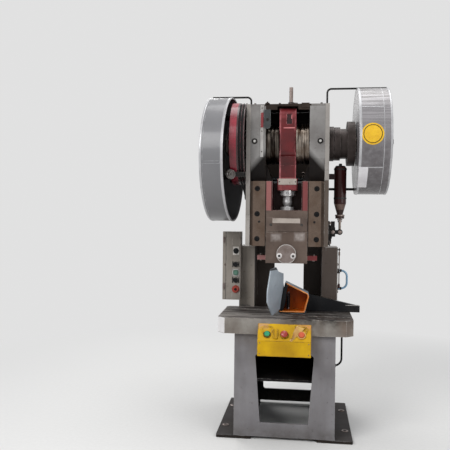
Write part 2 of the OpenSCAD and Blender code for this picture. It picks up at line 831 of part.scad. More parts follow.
module right_guard_cap() {
  color([0.6, 0.62, 0.64]) translate([guard_r_x + guard_r_w, ram_y, guard_r_z]) {
    difference() {
      rod_x(0, 34, guard_cap_r);
      for (a = [30 : 60 : 330]) rotate([a, 0, 0]) translate([0, 0, 100]) rod_x(28, 35, 9);
    }
    rotate([0, 90, 0]) cylinder(h = 52, r = 24, $fn = 6);
  }
}

// Trip gear: cylinder, rod, lever and its bracket
trip_x = half_frame + 86;
trip_hi = 1922;
trip_lo = 1661;
cone_lo = 1562;
rod_end = 1450;
module trip_cylinder() {
  color([0.32, 0.1, 0.12]) {
    translate([trip_x, ram_y, 0]) rotate_extrude() difference() {
      polygon([[0, trip_hi], [trip_r - 6, trip_hi], [trip_r, trip_hi - 6], [trip_r, trip_lo],
        [22, cone_lo + 20], [22, cone_lo + 4], [32, cone_lo + 4], [32, cone_lo - 14],
        [0, cone_lo - 14]]);
      translate([-1, 1400]) square([9 + run_c + 1, 350]);
    }
    difference() {
      block(half_frame, trip_x, ram_y - 20, ram_y + 20, trip_hi - 90, trip_hi - 50);
      translate([trip_x, ram_y, trip_lo]) cylinder(h = 300, r = trip_r - 1);
    }
  }
}
eye_z = rod_end;
module trip_rod() {
  color([0.6, 0.6, 0.6]) {
    translate([trip_x, ram_y, eye_z]) cylinder(h = trip_lo + 40 - eye_z, r = 9);
    translate([trip_x, 0, eye_z]) {
      rod_y(ram_y - 10, ram_y + 10, 21);
      rod_y(ram_y - 38, ram_y - 9, 7);
      rod_y(ram_y - 42, ram_y - 34, 12);
    }
  }
}
lever_x = half_frame + 36;
lever_z = eye_z;
arm = trip_x - lever_x;
module trip_lever() {
  color([0.08, 0.08, 0.08]) translate([0, ram_y - 22, 0]) along_y(-7, 7) difference() {
    union() {
      translate([lever_x, lever_z]) circle(22);
      translate([trip_x, lever_z]) circle(20);
      translate([lever_x, lever_z - 15]) square([arm, 30]);
      translate([lever_x - 14, lever_z]) square([28, 78]);
    }
    translate([lever_x, lever_z]) circle(10 + run_c);
    for (x = [-3, 6]) translate([trip_x + x, lever_z]) circle(9);
    translate([trip_x - 3, lever_z - 9]) square([9, 18]);
  }
}
module lever_bracket() {
  color([0.1, 0.1, 0.1]) {
    block(half_frame, half_frame + 12, ram_y - 45, ram_y + 40, lever_z - 95, lever_z + 80);
    block(half_frame + 11, lever_x + 18, ram_y - 14, ram_y + 8, lever_z - 34, lever_z + 34);
    translate([lever_x, 0, lever_z]) {
      rod_y(ram_y - 38, ram_y - 13, 10);
      rod_y(ram_y - 38, ram_y - 30, 15);
    }
  }
}

// Air hose loop on the right cheek and the cable under the table
hose_y = col_y + 50;
hose_z = 1069;
hose_r = 8;
hose_bend = 70;
hose_x = half_frame + cheek_w;
hose_arc = 45;
module hose_half() {
  translate([29, 0, hose_bend - hose_arc]) rotate([90, 0, 0])
    rotate_extrude(angle = 90) translate([hose_arc, 0]) circle(hose_r, $fn = 24);
  translate([10, 0, hose_bend]) rotate([0, 90, 0]) cylinder(h = 19, r = hose_r, $fn = 24);
  translate([0, 0, hose_bend]) rotate([0, 90, 0]) cylinder(h = 20, r = 13, $fn = 6);
}
module air_hose() {
  color([0.55, 0.72, 0.82]) translate([hose_x, hose_y, hose_z]) {
    hose_half();
    mirror([0, 0, 1]) hose_half();
    translate([29 + hose_arc, 0, hose_arc - hose_bend])
      cylinder(h = 2 * (hose_bend - hose_arc), r = hose_r, $fn = 24);
  }
}
cable_r = 7;
cable_bend = (table_w - stand_w) / 2 - 66;
cable_y = ram_y - 20;
module side_cable() {
  x0 = stand_w / 2;
  z0 = 480;
  color([0.06, 0.06, 0.06]) translate([x0, cable_y, 0]) {
    translate([0, 0, z0 + cable_bend]) rotate([90, 0, 0]) rotate([0, 0, -90])
      rotate_extrude(angle = 90) translate([cable_bend, 0]) circle(cable_r, $fn = 24);
    translate([cable_bend, 0, z0 + cable_bend]) cylinder(h = stand_top - z0 - cable_bend, r = cable_r);
    translate([cable_bend, 0, stand_top - 18]) cylinder(h = 18, r = 13, $fn = 6);
    translate([0, 0, z0]) rotate([0, 90, 0]) cylinder(h = 14, r = 13, $fn = 6);
  }
}

// Control box on the left cheek with its operators
box_in = half_frame + cheek_w - 24;
box_back = col_y - 10;
box_y = box_back - box_d;
box_low = 908;
op_x = box_in + 38;
selector_z = 1289;
op_z = [1184, 1120, 1061, 991];
module control_box() {
  color([0.8, 0.81, 0.81]) mirrored(-1) {
    difference() {
      translate([0, 0, box_low]) linear_extrude(box_h)
        round_rect(box_in, box_in + box_w, box_y, box_back, 6);
      block(box_in + 3, box_in + box_w - 3, box_y + 3, box_back - 3, box_low + 3, box_low + box_h - 3);
      for (z = concat([selector_z], op_z)) translate([op_x, 0, z]) rod_y(box_y - 1, box_y + 4, 9);
    }
    block(box_in, half_frame + cheek_w + 60, box_back, col_y, box_low + 60, box_low + 400);
    difference() {
      block(op_x - 24, op_x + 24, box_y - 3, box_y, selector_z - 32, selector_z + 32);
      translate([op_x, 0, selector_z]) rod_y(box_y - 4, box_y + 1, 9);
    }
    for (z = op_z) translate([op_x, 0, z]) difference() {
      rod_y(box_y - 4, box_y, button_r + 5);
      rod_y(box_y - 5, box_y + 1, 9);
    }
  }
}
module selector_knob() {
  color([0.08, 0.08, 0.08]) translate([-op_x, 0, selector_z]) {
    rod_y(box_y - 13, box_y - 3 - seat_c, 17);
    rod_y(box_y - 4, box_y + 20, 9 - run_c);
    block(-5, 5, box_y - 26, box_y - 12, -17, 17);
  }
}
module box_button(z, r, h) {
  translate([-op_x, 0, z]) {
    rod_y(box_y - 4 - button_travel - seat_c - h, box_y - 4 - button_travel - seat_c, r);
    rod_y(box_y - 5 - button_travel - seat_c, box_y + 20, 9 - run_c);
  }
}
module button_black_upper() {
  color([0.08, 0.08, 0.08]) box_button(op_z[0], button_r, 5);
}
module button_green() {
  color([0.2, 0.6, 0.42]) box_button(op_z[1], button_r, 5);
}
module button_black_lower() {
  color([0.08, 0.08, 0.08]) box_button(op_z[2], button_r, 5);
}
module button_red() {
  color([0.8, 0.2, 0.15]) box_button(op_z[3], button_r + 4, 10);
}

// Two-hand box under the table's front edge, with a sloped panel
hand_low = 608;
hand_mid = 712;
hand_high = 817;
hand_y = table_y - 80;
hand_slope = atan2(hand_high - hand_mid, table_y - hand_y);
hand_len = norm([hand_high - hand_mid, table_y - hand_y]);
module hand_outline(t) {
  polygon([[table_y - t, hand_high - 2.2 * t], [hand_y + t, hand_mid - 0.3 * t],
    [hand_y + t, hand_low + t], [stand_y - t, hand_low + t], [stand_y - t, stand_top - t],
    [table_y - t, stand_top - t]]);
}
// Places a child on the sloped panel: x along the press, s up the slope
module on_panel(x, s) {
  translate([x, hand_y, hand_mid]) rotate([hand_slope, 0, 0]) translate([0, s, 0]) children();
}
hand_button_x = 117;
hand_s = hand_len * 0.36;
module hand_box() {
  color([0.95, 0.8, 0.1]) {
    difference() {
      along_x(-hand_w / 2, hand_w / 2) hand_outline(0);
      along_x(-hand_w / 2 + 3, hand_w / 2 - 3) hand_outline(3);
      for (x = [-hand_button_x, 0, hand_button_x]) on_panel(x, hand_s)
        translate([0, 0, -12]) cylinder(h = 20, r = 11);
    }
    difference() {
      on_panel(-60, hand_len * 0.45) translate([0, 0, -1]) linear_extrude(13) difference() {
        round_rect(-16, 16, -44, 44, 15);
        round_rect(-11, 11, -39, 60, 10);
        translate([-20, 30]) square([40, 40]);
      }
    }
    on_panel(62, hand_len * 0.5) rotate([0, 0, -16]) translate([-3, -50, -1]) cube([6, 96, 28]);
    for (x = [-hand_button_x, hand_button_x]) on_panel(x, hand_s) difference() {
      translate([0, 0, -1]) cylinder(h = 7, r = 27);
      translate([0, 0, -2]) cylinder(h = 9, r = 11);
    }
  }
}
module hand_button(x, r, h, lift) {
  on_panel(x, hand_s) {
    translate([0, 0, lift]) cylinder(h = h, r1 = r, r2 = r - 2);
    translate([0, 0, -22]) cylinder(h = 23 + lift, r = 11 - run_c);
  }
}
module hand_button_left() {
  color([0.1, 0.6, 0.35]) hand_button(-hand_button_x, 19, 9, 6 + button_travel + seat_c);
}
module hand_button_right() {
  color([0.85, 0.28, 0.15]) hand_button(hand_button_x, 21, 9, 6 + button_travel + seat_c);
}
module stop_button() {
  color([0.7, 0.12, 0.12]) {
    hand_button(0, 11 - run_c, 10, 0);
    on_panel(0, hand_s) translate([0, 0, button_travel + seat_c]) rotate_extrude()
      polygon([[0, 0], [14, 0], [24, 8], [25, 16], [20, 23], [0, 26]]);
  }
}

// Foot switch that lies on the table: sole, hood and rear arm, and the pedal in the hood
fs_x = -30;
fs_y = ram_y - 25;
hood_t = 7;
module hood_outline(t) {
  polygon([[fs_x - 26 + t * 1.3, t], [135 - t * 1.1, t], [165 - t, 125 + t * 0.3],
    [158 - t, 148 - t * 0.6], [fs_x + 22 + t * 0.8, 226 - t * 1.3]]);
}
sole_t = 8;
module foot_sole() {
  translate([fs_x - 20, fs_y + 15, 0]) rotate([0, 0, -20]) rotate([0, 6, 0]) along_x(0, sole_t)
    polygon([[-150, 1], [-262, 108], [-280, 184], [-260, 343], [-172, 351], [-120, 317], [-20, 296],
      [0, 220], [30, 170], [30, 40], [-35, 28]]);
}
pedal_x = fs_x + 44;
pedal_y = fs_y + 118;
pedal_z = table_z + 30;
pedal_h = 105;
module foot_switch() {
  color([0.4, 0.5, 0.58]) {
    translate([0, 0, table_z]) {
      difference() {
        along_y(fs_y, fs_y + 150) hood_outline(0);
        along_y(fs_y - 1, fs_y + 143) hood_outline(hood_t);
      }
      foot_sole();
    }
    translate([pedal_x, pedal_y, table_z + hood_t - 1]) cylinder(h = pedal_h + 35, r = 5);
  }
}
module foot_switch_arm() {
  color([0.07, 0.07, 0.07]) translate([0, 0, table_z])
    along_y(fs_y + 150, fs_y + 190) polygon([[100, 0], [540, 0], [540, 46], [100, 140]]);
}
module foot_pedal() {
  color([0.08, 0.08, 0.08]) translate([pedal_x, pedal_y, pedal_z]) difference() {
    union() {
      cylinder(h = pedal_h, r = 11);
      translate([-10, -112, 0]) cube([10, 108, pedal_h]);
      for (z = [15 : 15 : pedal_h - 10]) translate([-1, -108, z]) cube([4, 84, 6]);
    }
    translate([0, 0, -1]) cylinder(h = pedal_h + 2, r = 5 + run_c);
  }
}

base_stand();
table();
side_plate_left();
side_plate_right();
back_plate();
bearing_block_left();
bearing_block_right();
main_bush_left();
main_bush_right();
top_cover();
top_rod();
guide_block_left();
guide_block_right();
gib_left();
gib_right();
gib_screws();
crankshaft();
connecting_rod();
rod_bush();
lock_nut();
ball_screw();
slide();
ball_ring();
clamp_cap();
clamp_bolts();
flywheel();
drive_belts();
motor();
motor_pulley();
left_guard();
left_guard_studs();
stay_left();
bearing_cover();
trip_disc();
brake_drum();
brake_band();
brake_anchor();
right_guard();
right_guard_cap();
stay_right();
trip_cylinder();
trip_rod();
trip_lever();
lever_bracket();
air_hose();
side_cable();
control_box();
selector_knob();
button_black_upper();
button_green();
button_black_lower();
button_red();
hand_box();
hand_button_left();
hand_button_right();
stop_button();
foot_switch();
foot_switch_arm();
foot_pedal();
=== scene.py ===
"""Dresses the stamping press: finishes for its solids, small parts, light and camera."""
import math
import bmesh
import bpy
from bpy.props import FloatProperty, FloatVectorProperty, IntProperty, PointerProperty
from mathutils import Matrix, Vector


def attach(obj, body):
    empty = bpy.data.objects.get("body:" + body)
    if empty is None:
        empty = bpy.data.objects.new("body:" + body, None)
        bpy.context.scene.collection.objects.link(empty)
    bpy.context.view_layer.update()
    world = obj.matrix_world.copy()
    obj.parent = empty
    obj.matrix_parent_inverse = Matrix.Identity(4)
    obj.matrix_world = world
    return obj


bl_info = {
    "name": "Stamping press dressing",
    "version": (1, 0, 0),
    "blender": (4, 5, 0),
    "location": "3D View > Sidebar > Press",
    "description": "Finishes, small parts, light and camera for a mechanical stamping press",
    "category": "Object",
}

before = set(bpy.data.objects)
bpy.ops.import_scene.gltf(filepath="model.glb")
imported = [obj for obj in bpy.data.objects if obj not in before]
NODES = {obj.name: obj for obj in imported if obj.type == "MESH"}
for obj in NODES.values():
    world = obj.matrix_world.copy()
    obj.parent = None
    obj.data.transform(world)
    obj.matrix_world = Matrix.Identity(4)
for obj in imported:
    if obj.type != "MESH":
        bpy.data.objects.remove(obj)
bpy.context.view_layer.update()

# Directions

LEFT, RIGHT = (-1, 0, 0), (1, 0, 0)
FRONT, BACK = (0, -1, 0), (0, 1, 0)
DOWN, UP = (0, 0, -1), (0, 0, 1)
MIDDLE = (0, 0, 0)

# Places on the press, in millimetres, with turns in degrees and the panel's tilt in radians

RAM_Y = -180
CRANK_Z = 2090
TABLE_TOP = 850
BLOCK_FACE = -330
GIB_FACE = -325
GIB_X = 211
CLAMP_FACE = -336
TRIP_X = 380
KEY_X = -400
BLACK_KEYS = (1184, 1061)
GREEN_KEY = 1120
RED_KEY = 991
HAND_X = 117
COLUMN_SIDE = 386
MOTOR_Y, MOTOR_Z = 150, 1750
STAND_SIDE = 350
ANCHOR_X, ANCHOR_Y = 432, 240
BRACKET_FACE = 306
CLAMP_SCREW_X, CLAMP_SCREW_Z = 49, 1278
LEFT_GUARD = (-408, -130, 1979)
LEFT_GUARD_TURN = -3.5
LEFT_GUARD_R = 457
LEFT_SCREW_R = 425
RIGHT_GUARD = (0, RAM_Y, 2104)
RIGHT_GUARD_R = 379
RIGHT_SCREW_R = 345
GUARD_SIDES = 128
BOX_FRONT, BOX_FOOT, BOX_SIDE = -559, 609, 180
PANEL_Y, PANEL_Z = -560, 712
PANEL_LENGTH = 132
KEY_ROW = 0.36  # share of the panel's length
PANEL_TILT = math.atan2(105, 80)
PANEL_OUT = (0, -math.sin(PANEL_TILT), math.cos(PANEL_TILT))

# Stage, in metres, watts and degrees

BACKDROP = (0.82, 0.82, 0.82, 1)
BACKDROP_STRENGTH = 0.92
FLOOR_RADIUS = 30
FLOOR_FADE = (1.7, 4.2)
SKY = (0.93, 0.96, 1.0, 1)
SKY_STRENGTH = 0.42
LAMPS = (
    ("key", (-2.6, -4.2, 4.6), (0, -0.1, 1.2), 2.6, 190),
    ("fill", (3.4, -3.6, 2.6), (0, 0, 1.2), 3.0, 80),
    ("top", (0.4, 0.2, 5.4), (0, 0, 1.5), 3.0, 90),
    ("back", (-2.5, 4.0, 3.5), (0, 0.2, 1.3), 2.6, 90),
)
PICTURE_PX = 450
FOCAL_PX = 623.0
SENSOR = 36.0
CAMERA_AT = (0.1461, -4.7818, 1.5471)
CAMERA_YAW, CAMERA_PITCH, CAMERA_ROLL = 7.52, -0.69, 0.62

# Settings of the finishes and meshes

EDGE_SOFT = 0.0006
NOISE_ROUGH = 0.55
PIECE_ROUND_STEPS = 2
SOLID_ROUND_STEPS = 1
WELD_STEP = 12
PATCH_STEPS = 24
PATCH_WIDTH = 8


# Colour and shader tools

def linear(rgb):
    """Screen colour 0-255 to scene linear."""
    def channel(c):
        return c / 12.92 if c <= 0.04045 else ((c + 0.055) / 1.055) ** 2.4
    return tuple(channel(c / 255) for c in rgb) + (1.0,)


def screen(colour):
    """A property's colour as 0-255."""
    return tuple(255 * c for c in colour)


class Shader:
    """Builds one material's node tree."""

    def __init__(self, name):
        self.mat = bpy.data.materials.new(name)
        self.mat.use_nodes = True
        self.tree = self.mat.node_tree
        self.bsdf = self.tree.nodes["Principled BSDF"]
        self.coord = self.tree.nodes.new("ShaderNodeTexCoord").outputs["Object"]

    def add(self, kind, **sockets):
        """A node with its sockets set or linked; _ stands for a space in a socket's name."""
        node = self.tree.nodes.new(kind)
        for key, value in sockets.items():
            self.put(node.inputs[key.replace("_", " ")], value)
        return node

    def put(self, socket, value):
        """Links a socket, or sets its value."""
        if isinstance(value, bpy.types.NodeSocket):
            self.tree.links.new(value, socket)
        else:
            socket.default_value = value

    def noise(self, scale, detail=5.0, stretch=(1, 1, 1), shift=0.0):
        """Noise in object space; the shift makes one layer differ from another."""
        moved = self.add("ShaderNodeMapping", Vector=self.coord, Scale=stretch,
                         Location=(shift, shift * 0.7, shift * 1.3))
        node = self.add("ShaderNodeTexNoise", Vector=moved.outputs[0], Scale=scale, Detail=detail,
                        Roughness=NOISE_ROUGH)
        return node.outputs["Fac"]

    def ramp(self, fac, low, high, a=0.0, b=1.0):
        """Maps low to high onto a to b and holds it there."""
        node = self.add("ShaderNodeMapRange", Value=fac, From_Min=low, From_Max=high, To_Min=a, To_Max=b)
        node.clamp = True
        return node.outputs[0]

    def mix(self, fac, a, b):
        """Mixes two colours."""
        node = self.tree.nodes.new("ShaderNodeMix")
        node.data_type = "RGBA"
        self.put(node.inputs["Factor"], fac)
        self.put(node.inputs[6], a)
        self.put(node.inputs[7], b)
        return node.outputs[2]

    def plain(self, kind, a, b):
        """One step of arithmetic."""
        node = self.tree.nodes.new("ShaderNodeMath")
        node.operation = kind
        self.put(node.inputs[0], a)
        self.put(node.inputs[1], b)
        return node.outputs[0]

    def math(self, kind, a, b):
        """One step of arithmetic, held between 0 and 1."""
        out = self.plain(kind, a, b)
        out.node.use_clamp = True
        return out

    def vector(self, kind, a, b=None):
        """One step of vector arithmetic."""
        node = self.tree.nodes.new("ShaderNodeVectorMath")
        node.operation = kind
        self.put(node.inputs[0], a)
        if b is not None:
            self.put(node.inputs[1], b)
        return node

    def split(self, vector):
        """The x, y and z of a vector."""
        return self.add("ShaderNodeSeparateXYZ", Vector=vector).outputs

    def edge(self, radius):
        """1 near a sharp edge, 0 on flat faces."""
        soft = self.add("ShaderNodeBevel", Radius=radius)
        soft.samples = 4
        geo = self.tree.nodes.new("ShaderNodeNewGeometry")
        dot = self.vector("DOT_PRODUCT", soft.outputs[0], geo.outputs["Normal"])
        return self.ramp(dot.outputs["Value"], 0.985, 0.9)

    def height(self, fac, strength, distance):
        """Raises the surface by a bump."""
        node = self.add("ShaderNodeBump", Strength=strength, Distance=distance, Height=fac)
        self.put(self.bsdf.inputs["Normal"], node.outputs[0])

    def zone(self, low, high, soft=EDGE_SOFT):
        """1 inside a box given in millimetres, 0 outside it."""
        mid = tuple((a + b) / 2000 for a, b in zip(low, high))
        half = tuple((b - a) / 2000 for a, b in zip(low, high))
        off = self.vector("SUBTRACT", self.coord, mid).outputs[0]
        off = self.vector("ABSOLUTE", off).outputs[0]
        off = self.split(self.vector("SUBTRACT", off, half).outputs[0])
        far = self.plain("MAXIMUM", self.plain("MAXIMUM", off[0], off[1]), off[2])
        return self.ramp(far, -soft, soft, 1.0, 0.0)


def seen_rays(tree):
    """1 for rays that show the background: straight from the camera, mirrored or through glass."""
    path = tree.nodes.new("ShaderNodeLightPath")
    total = path.outputs["Is Camera Ray"]
    for kind in ("Is Glossy Ray", "Is Transmission Ray"):
        node = tree.nodes.new("ShaderNodeMath")
        node.operation = "ADD"
        node.use_clamp = True
        tree.links.new(total, node.inputs[0])
        tree.links.new(path.outputs[kind], node.inputs[1])
        total = node.outputs[0]
    return total


# Layers of a finish

def zoned(s, base, zones):
    """Lays boxes of another tone over the base, many of them painted shade or painted light; a box with a
    soft edge is broken up too.
    """
    for low, high, tone, strength, *soft in zones:
        area = s.zone(low, high, *soft)
        if soft:
            area = s.math("MULTIPLY", area, s.ramp(s.noise(30.0, 4, shift=8.0), 0.34, 0.6, 0.35, 1.0))
        base = s.mix(s.math("MULTIPLY", area, strength), base, linear(tone))
    return base


def streaked(s, base, tone, low, high, fade=None):
    """Lays streaks along x inside a box; they grow between the two heights of fade."""
    lines = s.ramp(s.noise(16.0, 6, (0.1, 2.2, 3.2), shift=7.0), 0.48, 0.56)
    lines = s.math("MULTIPLY", lines, s.zone(low, high, 0.002))
    if fade:
        lines = s.math("MULTIPLY", lines, s.ramp(s.split(s.coord)["Z"], *fade))
    return s.mix(s.math("MULTIPLY", lines, 0.9), base, linear(tone))


def shaded(s, base, slope, level, soft, tone, strength):
    """Painted shade: darkens what lies below a line that falls away from the middle on both sides."""
    at = s.split(s.coord)
    reach = s.plain("ADD", at[2], s.plain("MULTIPLY", s.plain("ABSOLUTE", at[0], 0.0), slope))
    return s.mix(s.ramp(reach, level - soft, level + soft, strength, 0.0), base, linear(tone))


def dented(s, fine, centre, radius):
    """Adds a dent and the creases round it to the fine grain."""
    gap = s.vector("DISTANCE", s.coord, centre).outputs["Value"]
    bowl = s.ramp(gap, radius * 0.35, radius)
    crease = s.ramp(s.noise(9.0, 2, shift=3.3), 0.42, 0.58)
    near = s.ramp(gap, 0.12, 0.24, 0.12, 0.0008)
    return s.plain("ADD", s.plain("MULTIPLY", fine, 0.0012),
                   s.plain("ADD", bowl, s.plain("MULTIPLY", crease, near)))


FINISHES = {}


def coat(name, colour, dark, rough=0.5, metallic=0.0, scale=5.0, wear=None, wear_width=0.004, grime=0.35,
         grime_colour=(58, 50, 44), bump=0.12, grain=260.0, clear=0.0, zones=(), streaks=None, dent=None,
         shade=None, shine=0.4):
    """Paint or metal with mottling, running grime, rubbed edges and a fine surface grain.

    Zones are boxes in millimetres with a colour and strength of their own, many of them painted
    shade or painted light. Streaks, shade and dent are the arguments of the layers above.
    """
    s = Shader(name)
    base = s.mix(s.ramp(s.noise(scale, 6), 0.3, 0.7), linear(dark), linear(colour))
    base = zoned(s, base, zones)
    if streaks:
        base = streaked(s, base, *streaks)
    if shade:
        base = shaded(s, base, *shade)
    runs = s.math("MULTIPLY", s.ramp(s.noise(3.2, 7, (1.6, 1.6, 0.35), shift=2.0), 0.48, 0.78), grime)
    base = s.mix(runs, base, linear(grime_colour))
    blot = s.ramp(s.noise(38.0, 4, shift=5.0), 0.63, 0.74, 0.0, min(1.0, grime * 0.9))
    base = s.mix(blot, base, linear(grime_colour))
    if wear:
        chips = s.math("MULTIPLY", s.edge(wear_width), s.ramp(s.noise(24.0, 5, shift=9.0), 0.42, 0.56))
        base = s.mix(chips, base, linear(wear))
    s.put(s.bsdf.inputs["Base Color"], base)
    gloss = s.ramp(s.noise(scale * 3.1, 5, shift=3.0), 0.25, 0.75, rough - 0.08, rough + 0.1)
    s.put(s.bsdf.inputs["Roughness"], gloss)
    s.bsdf.inputs["Metallic"].default_value = metallic
    s.bsdf.inputs["Specular IOR Level"].default_value = shine
    s.bsdf.inputs["Coat Weight"].default_value = clear
    s.bsdf.inputs["Coat Roughness"].default_value = 0.12
    fine = s.noise(grain, 3, shift=1.0)
    if dent:
        s.height(dented(s, fine, *dent), 0.8, 0.012)
    else:
        s.height(fine, bump, 0.0006)
    FINISHES[name] = s.mat


def machined(name, colour, dark, rough=0.3, metallic=1.0, stretch=(1, 1, 14), oil=0.5, crisp=0.2, zones=()):
    """Ground or turned steel: drawn grain, oily patches, brown stains and zones of painted shade."""
    s = Shader(name)
    grain = s.noise(90.0, 4, stretch)
    base = s.mix(s.ramp(grain, 0.5 - crisp, 0.5 + crisp), linear(dark), linear(colour))
    stain = s.ramp(s.noise(11.0, 7, shift=4.0), 0.48, 0.68, 0.0, oil)
    base = s.mix(stain, base, linear((72, 52, 36)))
    for low, high, tone, strength, soft in zones:
        base = s.mix(s.math("MULTIPLY", s.zone(low, high, soft), strength), base, linear(tone))
    s.put(s.bsdf.inputs["Base Color"], base)
    gloss = s.ramp(s.noise(14.0, 5, shift=6.0), 0.3, 0.7, rough - 0.08, rough + 0.18)
    s.put(s.bsdf.inputs["Roughness"], gloss)
    s.bsdf.inputs["Metallic"].default_value = metallic
    s.height(grain, 0.1, 0.0004)
    FINISHES[name] = s.mat


# Painted shade between the side plates
PAINTED_SHADE_BETWEEN_PLATES = ((-264.6, -600, 700), (264.6, 449, 2400))


def frame_finishes(colours):
    """Paint of the frame, the stand and the guards."""
    coat("frame grey", screen(colours.frame_light), screen(colours.frame_dark), 0.46, wear=(176, 172, 168),
         grime=0.42,
         # Zones: painted shade between the side plates, painted light on the left column, painted shade on
         # the right column and on the lower front edge of the right plate.
         zones=((*PAINTED_SHADE_BETWEEN_PLATES, (54, 43, 36), 0.92),
                ((-400, -340, 740), (-100, 151, 1330), (172, 162, 150), 0.75),
                ((100, -340, 740), (400, 151, 1330), (84, 70, 62), 0.85),
                ((264.7, -340, 1200), (400, -328, 1818), (62, 48, 37), 0.85)), shine=0.25)
    # Zones: painted shade inside the stand and along its foot, a darker band at the top of the left side, and
    # near-black foot plates.
    coat("stand grey", (133, 131, 133), (112, 109, 111), 0.5, scale=3.4, wear=(150, 148, 148), grime=0.42,
         zones=(((-334.5, -434.5, 20.5), (334.5, 434.5, 741), (14, 12, 12), 0.97),
                ((-380, -460, -40), (380, 460, 62), (84, 80, 76), 0.75, 0.05),
                ((-380, -460, 690), (-250, 460, 760), (92, 84, 74), 0.6, 0.05),
                ((-600, -600, -1), (600, 600, 20.4), (34, 29, 25), 0.95)), shine=0.02)
    # Zones: painted shade on the inner walls of the bearing blocks; the shade argument paints shade under a
    # slanting line across their chins.
    coat("head grey", (144, 142, 140), (104, 100, 98), 0.4, wear=(60, 52, 46), grime=0.45,
         zones=(((-158, -329, 1700), (158, 0, 2360), (34, 27, 24), 0.92),),
         shade=(1.08, 2.185, 0.03, (14, 9, 8), 0.98), shine=0.1)
    coat("head dark", (58, 48, 42), (36, 29, 25), 0.45, grime=0.5, grime_colour=(22, 16, 13), shine=0.1,
         zones=(((-300, -345, 2346), (-165, 110, 2400), (132, 129, 126), 0.85),
                ((165, -345, 2346), (300, 110, 2400), (132, 129, 126), 0.85)))
    coat("guard grey", (118, 117, 119), (105, 105, 107), 0.34, scale=2.2, wear=(190, 190, 192), grime=0.28,
         grime_colour=(84, 79, 77), bump=0.05, clear=0.25, shine=0.25)
    coat("guard bright", (184, 184, 186), (158, 157, 159), 0.32, scale=14.0, grime=0.35, metallic=0.2,
         grime_colour=(104, 98, 94), clear=0.3)
    # The pale streaks over the top are painted highlights; the darker top band and lower part are painted
    # shade.
    coat("guard pale", (130, 127, 129), (112, 109, 111), 0.28, scale=2.4, wear=(208, 208, 210), grime=0.32,
         grime_colour=(92, 84, 82), metallic=0.1, clear=0.12,
         streaks=((168, 165, 167), (490, -620, 1700), (697, 300, 2500), (2.12, 2.42)),
         zones=(((484, -600, 2350), (702, 300, 2500), (104, 100, 98), 0.8, 0.05),
                ((484, -600, 1660), (702, 300, 2060), (74, 69, 71), 0.6, 0.05)),
         dent=((0.545, -0.54, 1.975), 0.085), shine=0.3)


def drive_finishes(colours):
    """Paint and steel of the rod, the slide, the wheel and the crank."""
    coat("rod red", screen(colours.rod_red), (66, 9, 13), 0.34, scale=7.0, wear=(186, 118, 120),
         wear_width=0.006, grime=0.42, grime_colour=(30, 10, 11), clear=0.3,
         # Zones: painted light on the rod's top, a lighter band at its foot, painted highlights along its
         # left and right edges and painted shade in the pocket.
         zones=(((-62, -400, 2264), (62, 100, 2400), (134, 56, 60), 0.7, 0.006),
                ((-80, -400, 1740), (80, 100, 1842), (150, 72, 74), 0.7),
                ((-62, -400, 1800), (-49, -150, 2345), (184, 110, 114), 0.75, 0.002),
                ((52, -400, 1800), (62, -150, 2345), (164, 84, 88), 0.7, 0.002),
                ((-24, -300, 2198), (40, -285, 2290), (26, 9, 10), 0.9)), shine=0.25)
    coat("ledge pink", (196, 122, 122), (160, 84, 86), 0.4, scale=20.0, grime=0.3, grime_colour=(70, 26, 28))
    coat("label red", (132, 30, 40), (102, 18, 26), 0.34, scale=16.0, wear=(214, 176, 170), wear_width=0.002,
         grime=0.3, clear=0.3)
    coat("slide red", (104, 90, 82), (78, 66, 59), 0.38, scale=7.0, wear=(150, 140, 132), grime=0.5,
         grime_colour=(48, 36, 30), metallic=0.2,
         # Zones: painted light on the left upright and the left lug, painted shade on the right upright, the
         # right lug and the pocket between the uprights, and two pale scuffs.
         zones=(((-150, -330, 1601), (0, -200, 1830), (146, 92, 90), 0.85),
                ((0, -330, 1601), (150, -200, 1830), (122, 60, 62), 0.85),
                ((-112, -319, 1601), (112, 0, 1830), (46, 20, 22), 0.9),
                ((-106, -330, 1385), (-40, -310, 1432), (158, 150, 146), 0.75, 0.012),
                ((60, -330, 1390), (126, -310, 1438), (166, 158, 154), 0.8, 0.012),
                ((-230, -330, 1230), (-149, 0, 1290), (190, 132, 130), 0.8),
                ((149, -330, 1230), (230, 0, 1290), (142, 60, 64), 0.8)), shine=0.2)
    coat("slide plate", (104, 90, 82), (78, 66, 60), 0.36, scale=9.0, wear=(156, 146, 138), wear_width=0.003,
         grime=0.5, grime_colour=(46, 36, 30), metallic=0.25, shine=0.25)
    coat("wheel red", (152, 44, 58), (100, 18, 32), 0.26, scale=6.0, wear=(132, 58, 68), wear_width=0.002,
         grime=0.35, grime_colour=(44, 14, 18), clear=0.3,
         # Painted shade on the wheel's inner face.
         zones=(((-352, -800, 1400), (-200, 600, 2700), (34, 29, 28), 0.93),), shine=0.4)
    # The zone is painted shade on the crank's left part.
    machined("polished steel", (150, 140, 130), (28, 23, 20), 0.28, stretch=(0.9, 0.06, 0.06), oil=0.6,
             crisp=0.1, zones=(((-170, -420, 1800), (-60, 100, 2420), (14, 10, 9), 0.72, 0.004),))
    machined("bright steel", (224, 222, 218), (182, 180, 176), 0.24, oil=0.15)
    machined("worn steel", (150, 138, 134), (104, 92, 86), 0.36, metallic=0.7, oil=0.6)
    machined("guide steel", (108, 92, 80), (70, 55, 45), 0.36, metallic=0.45, oil=0.7)


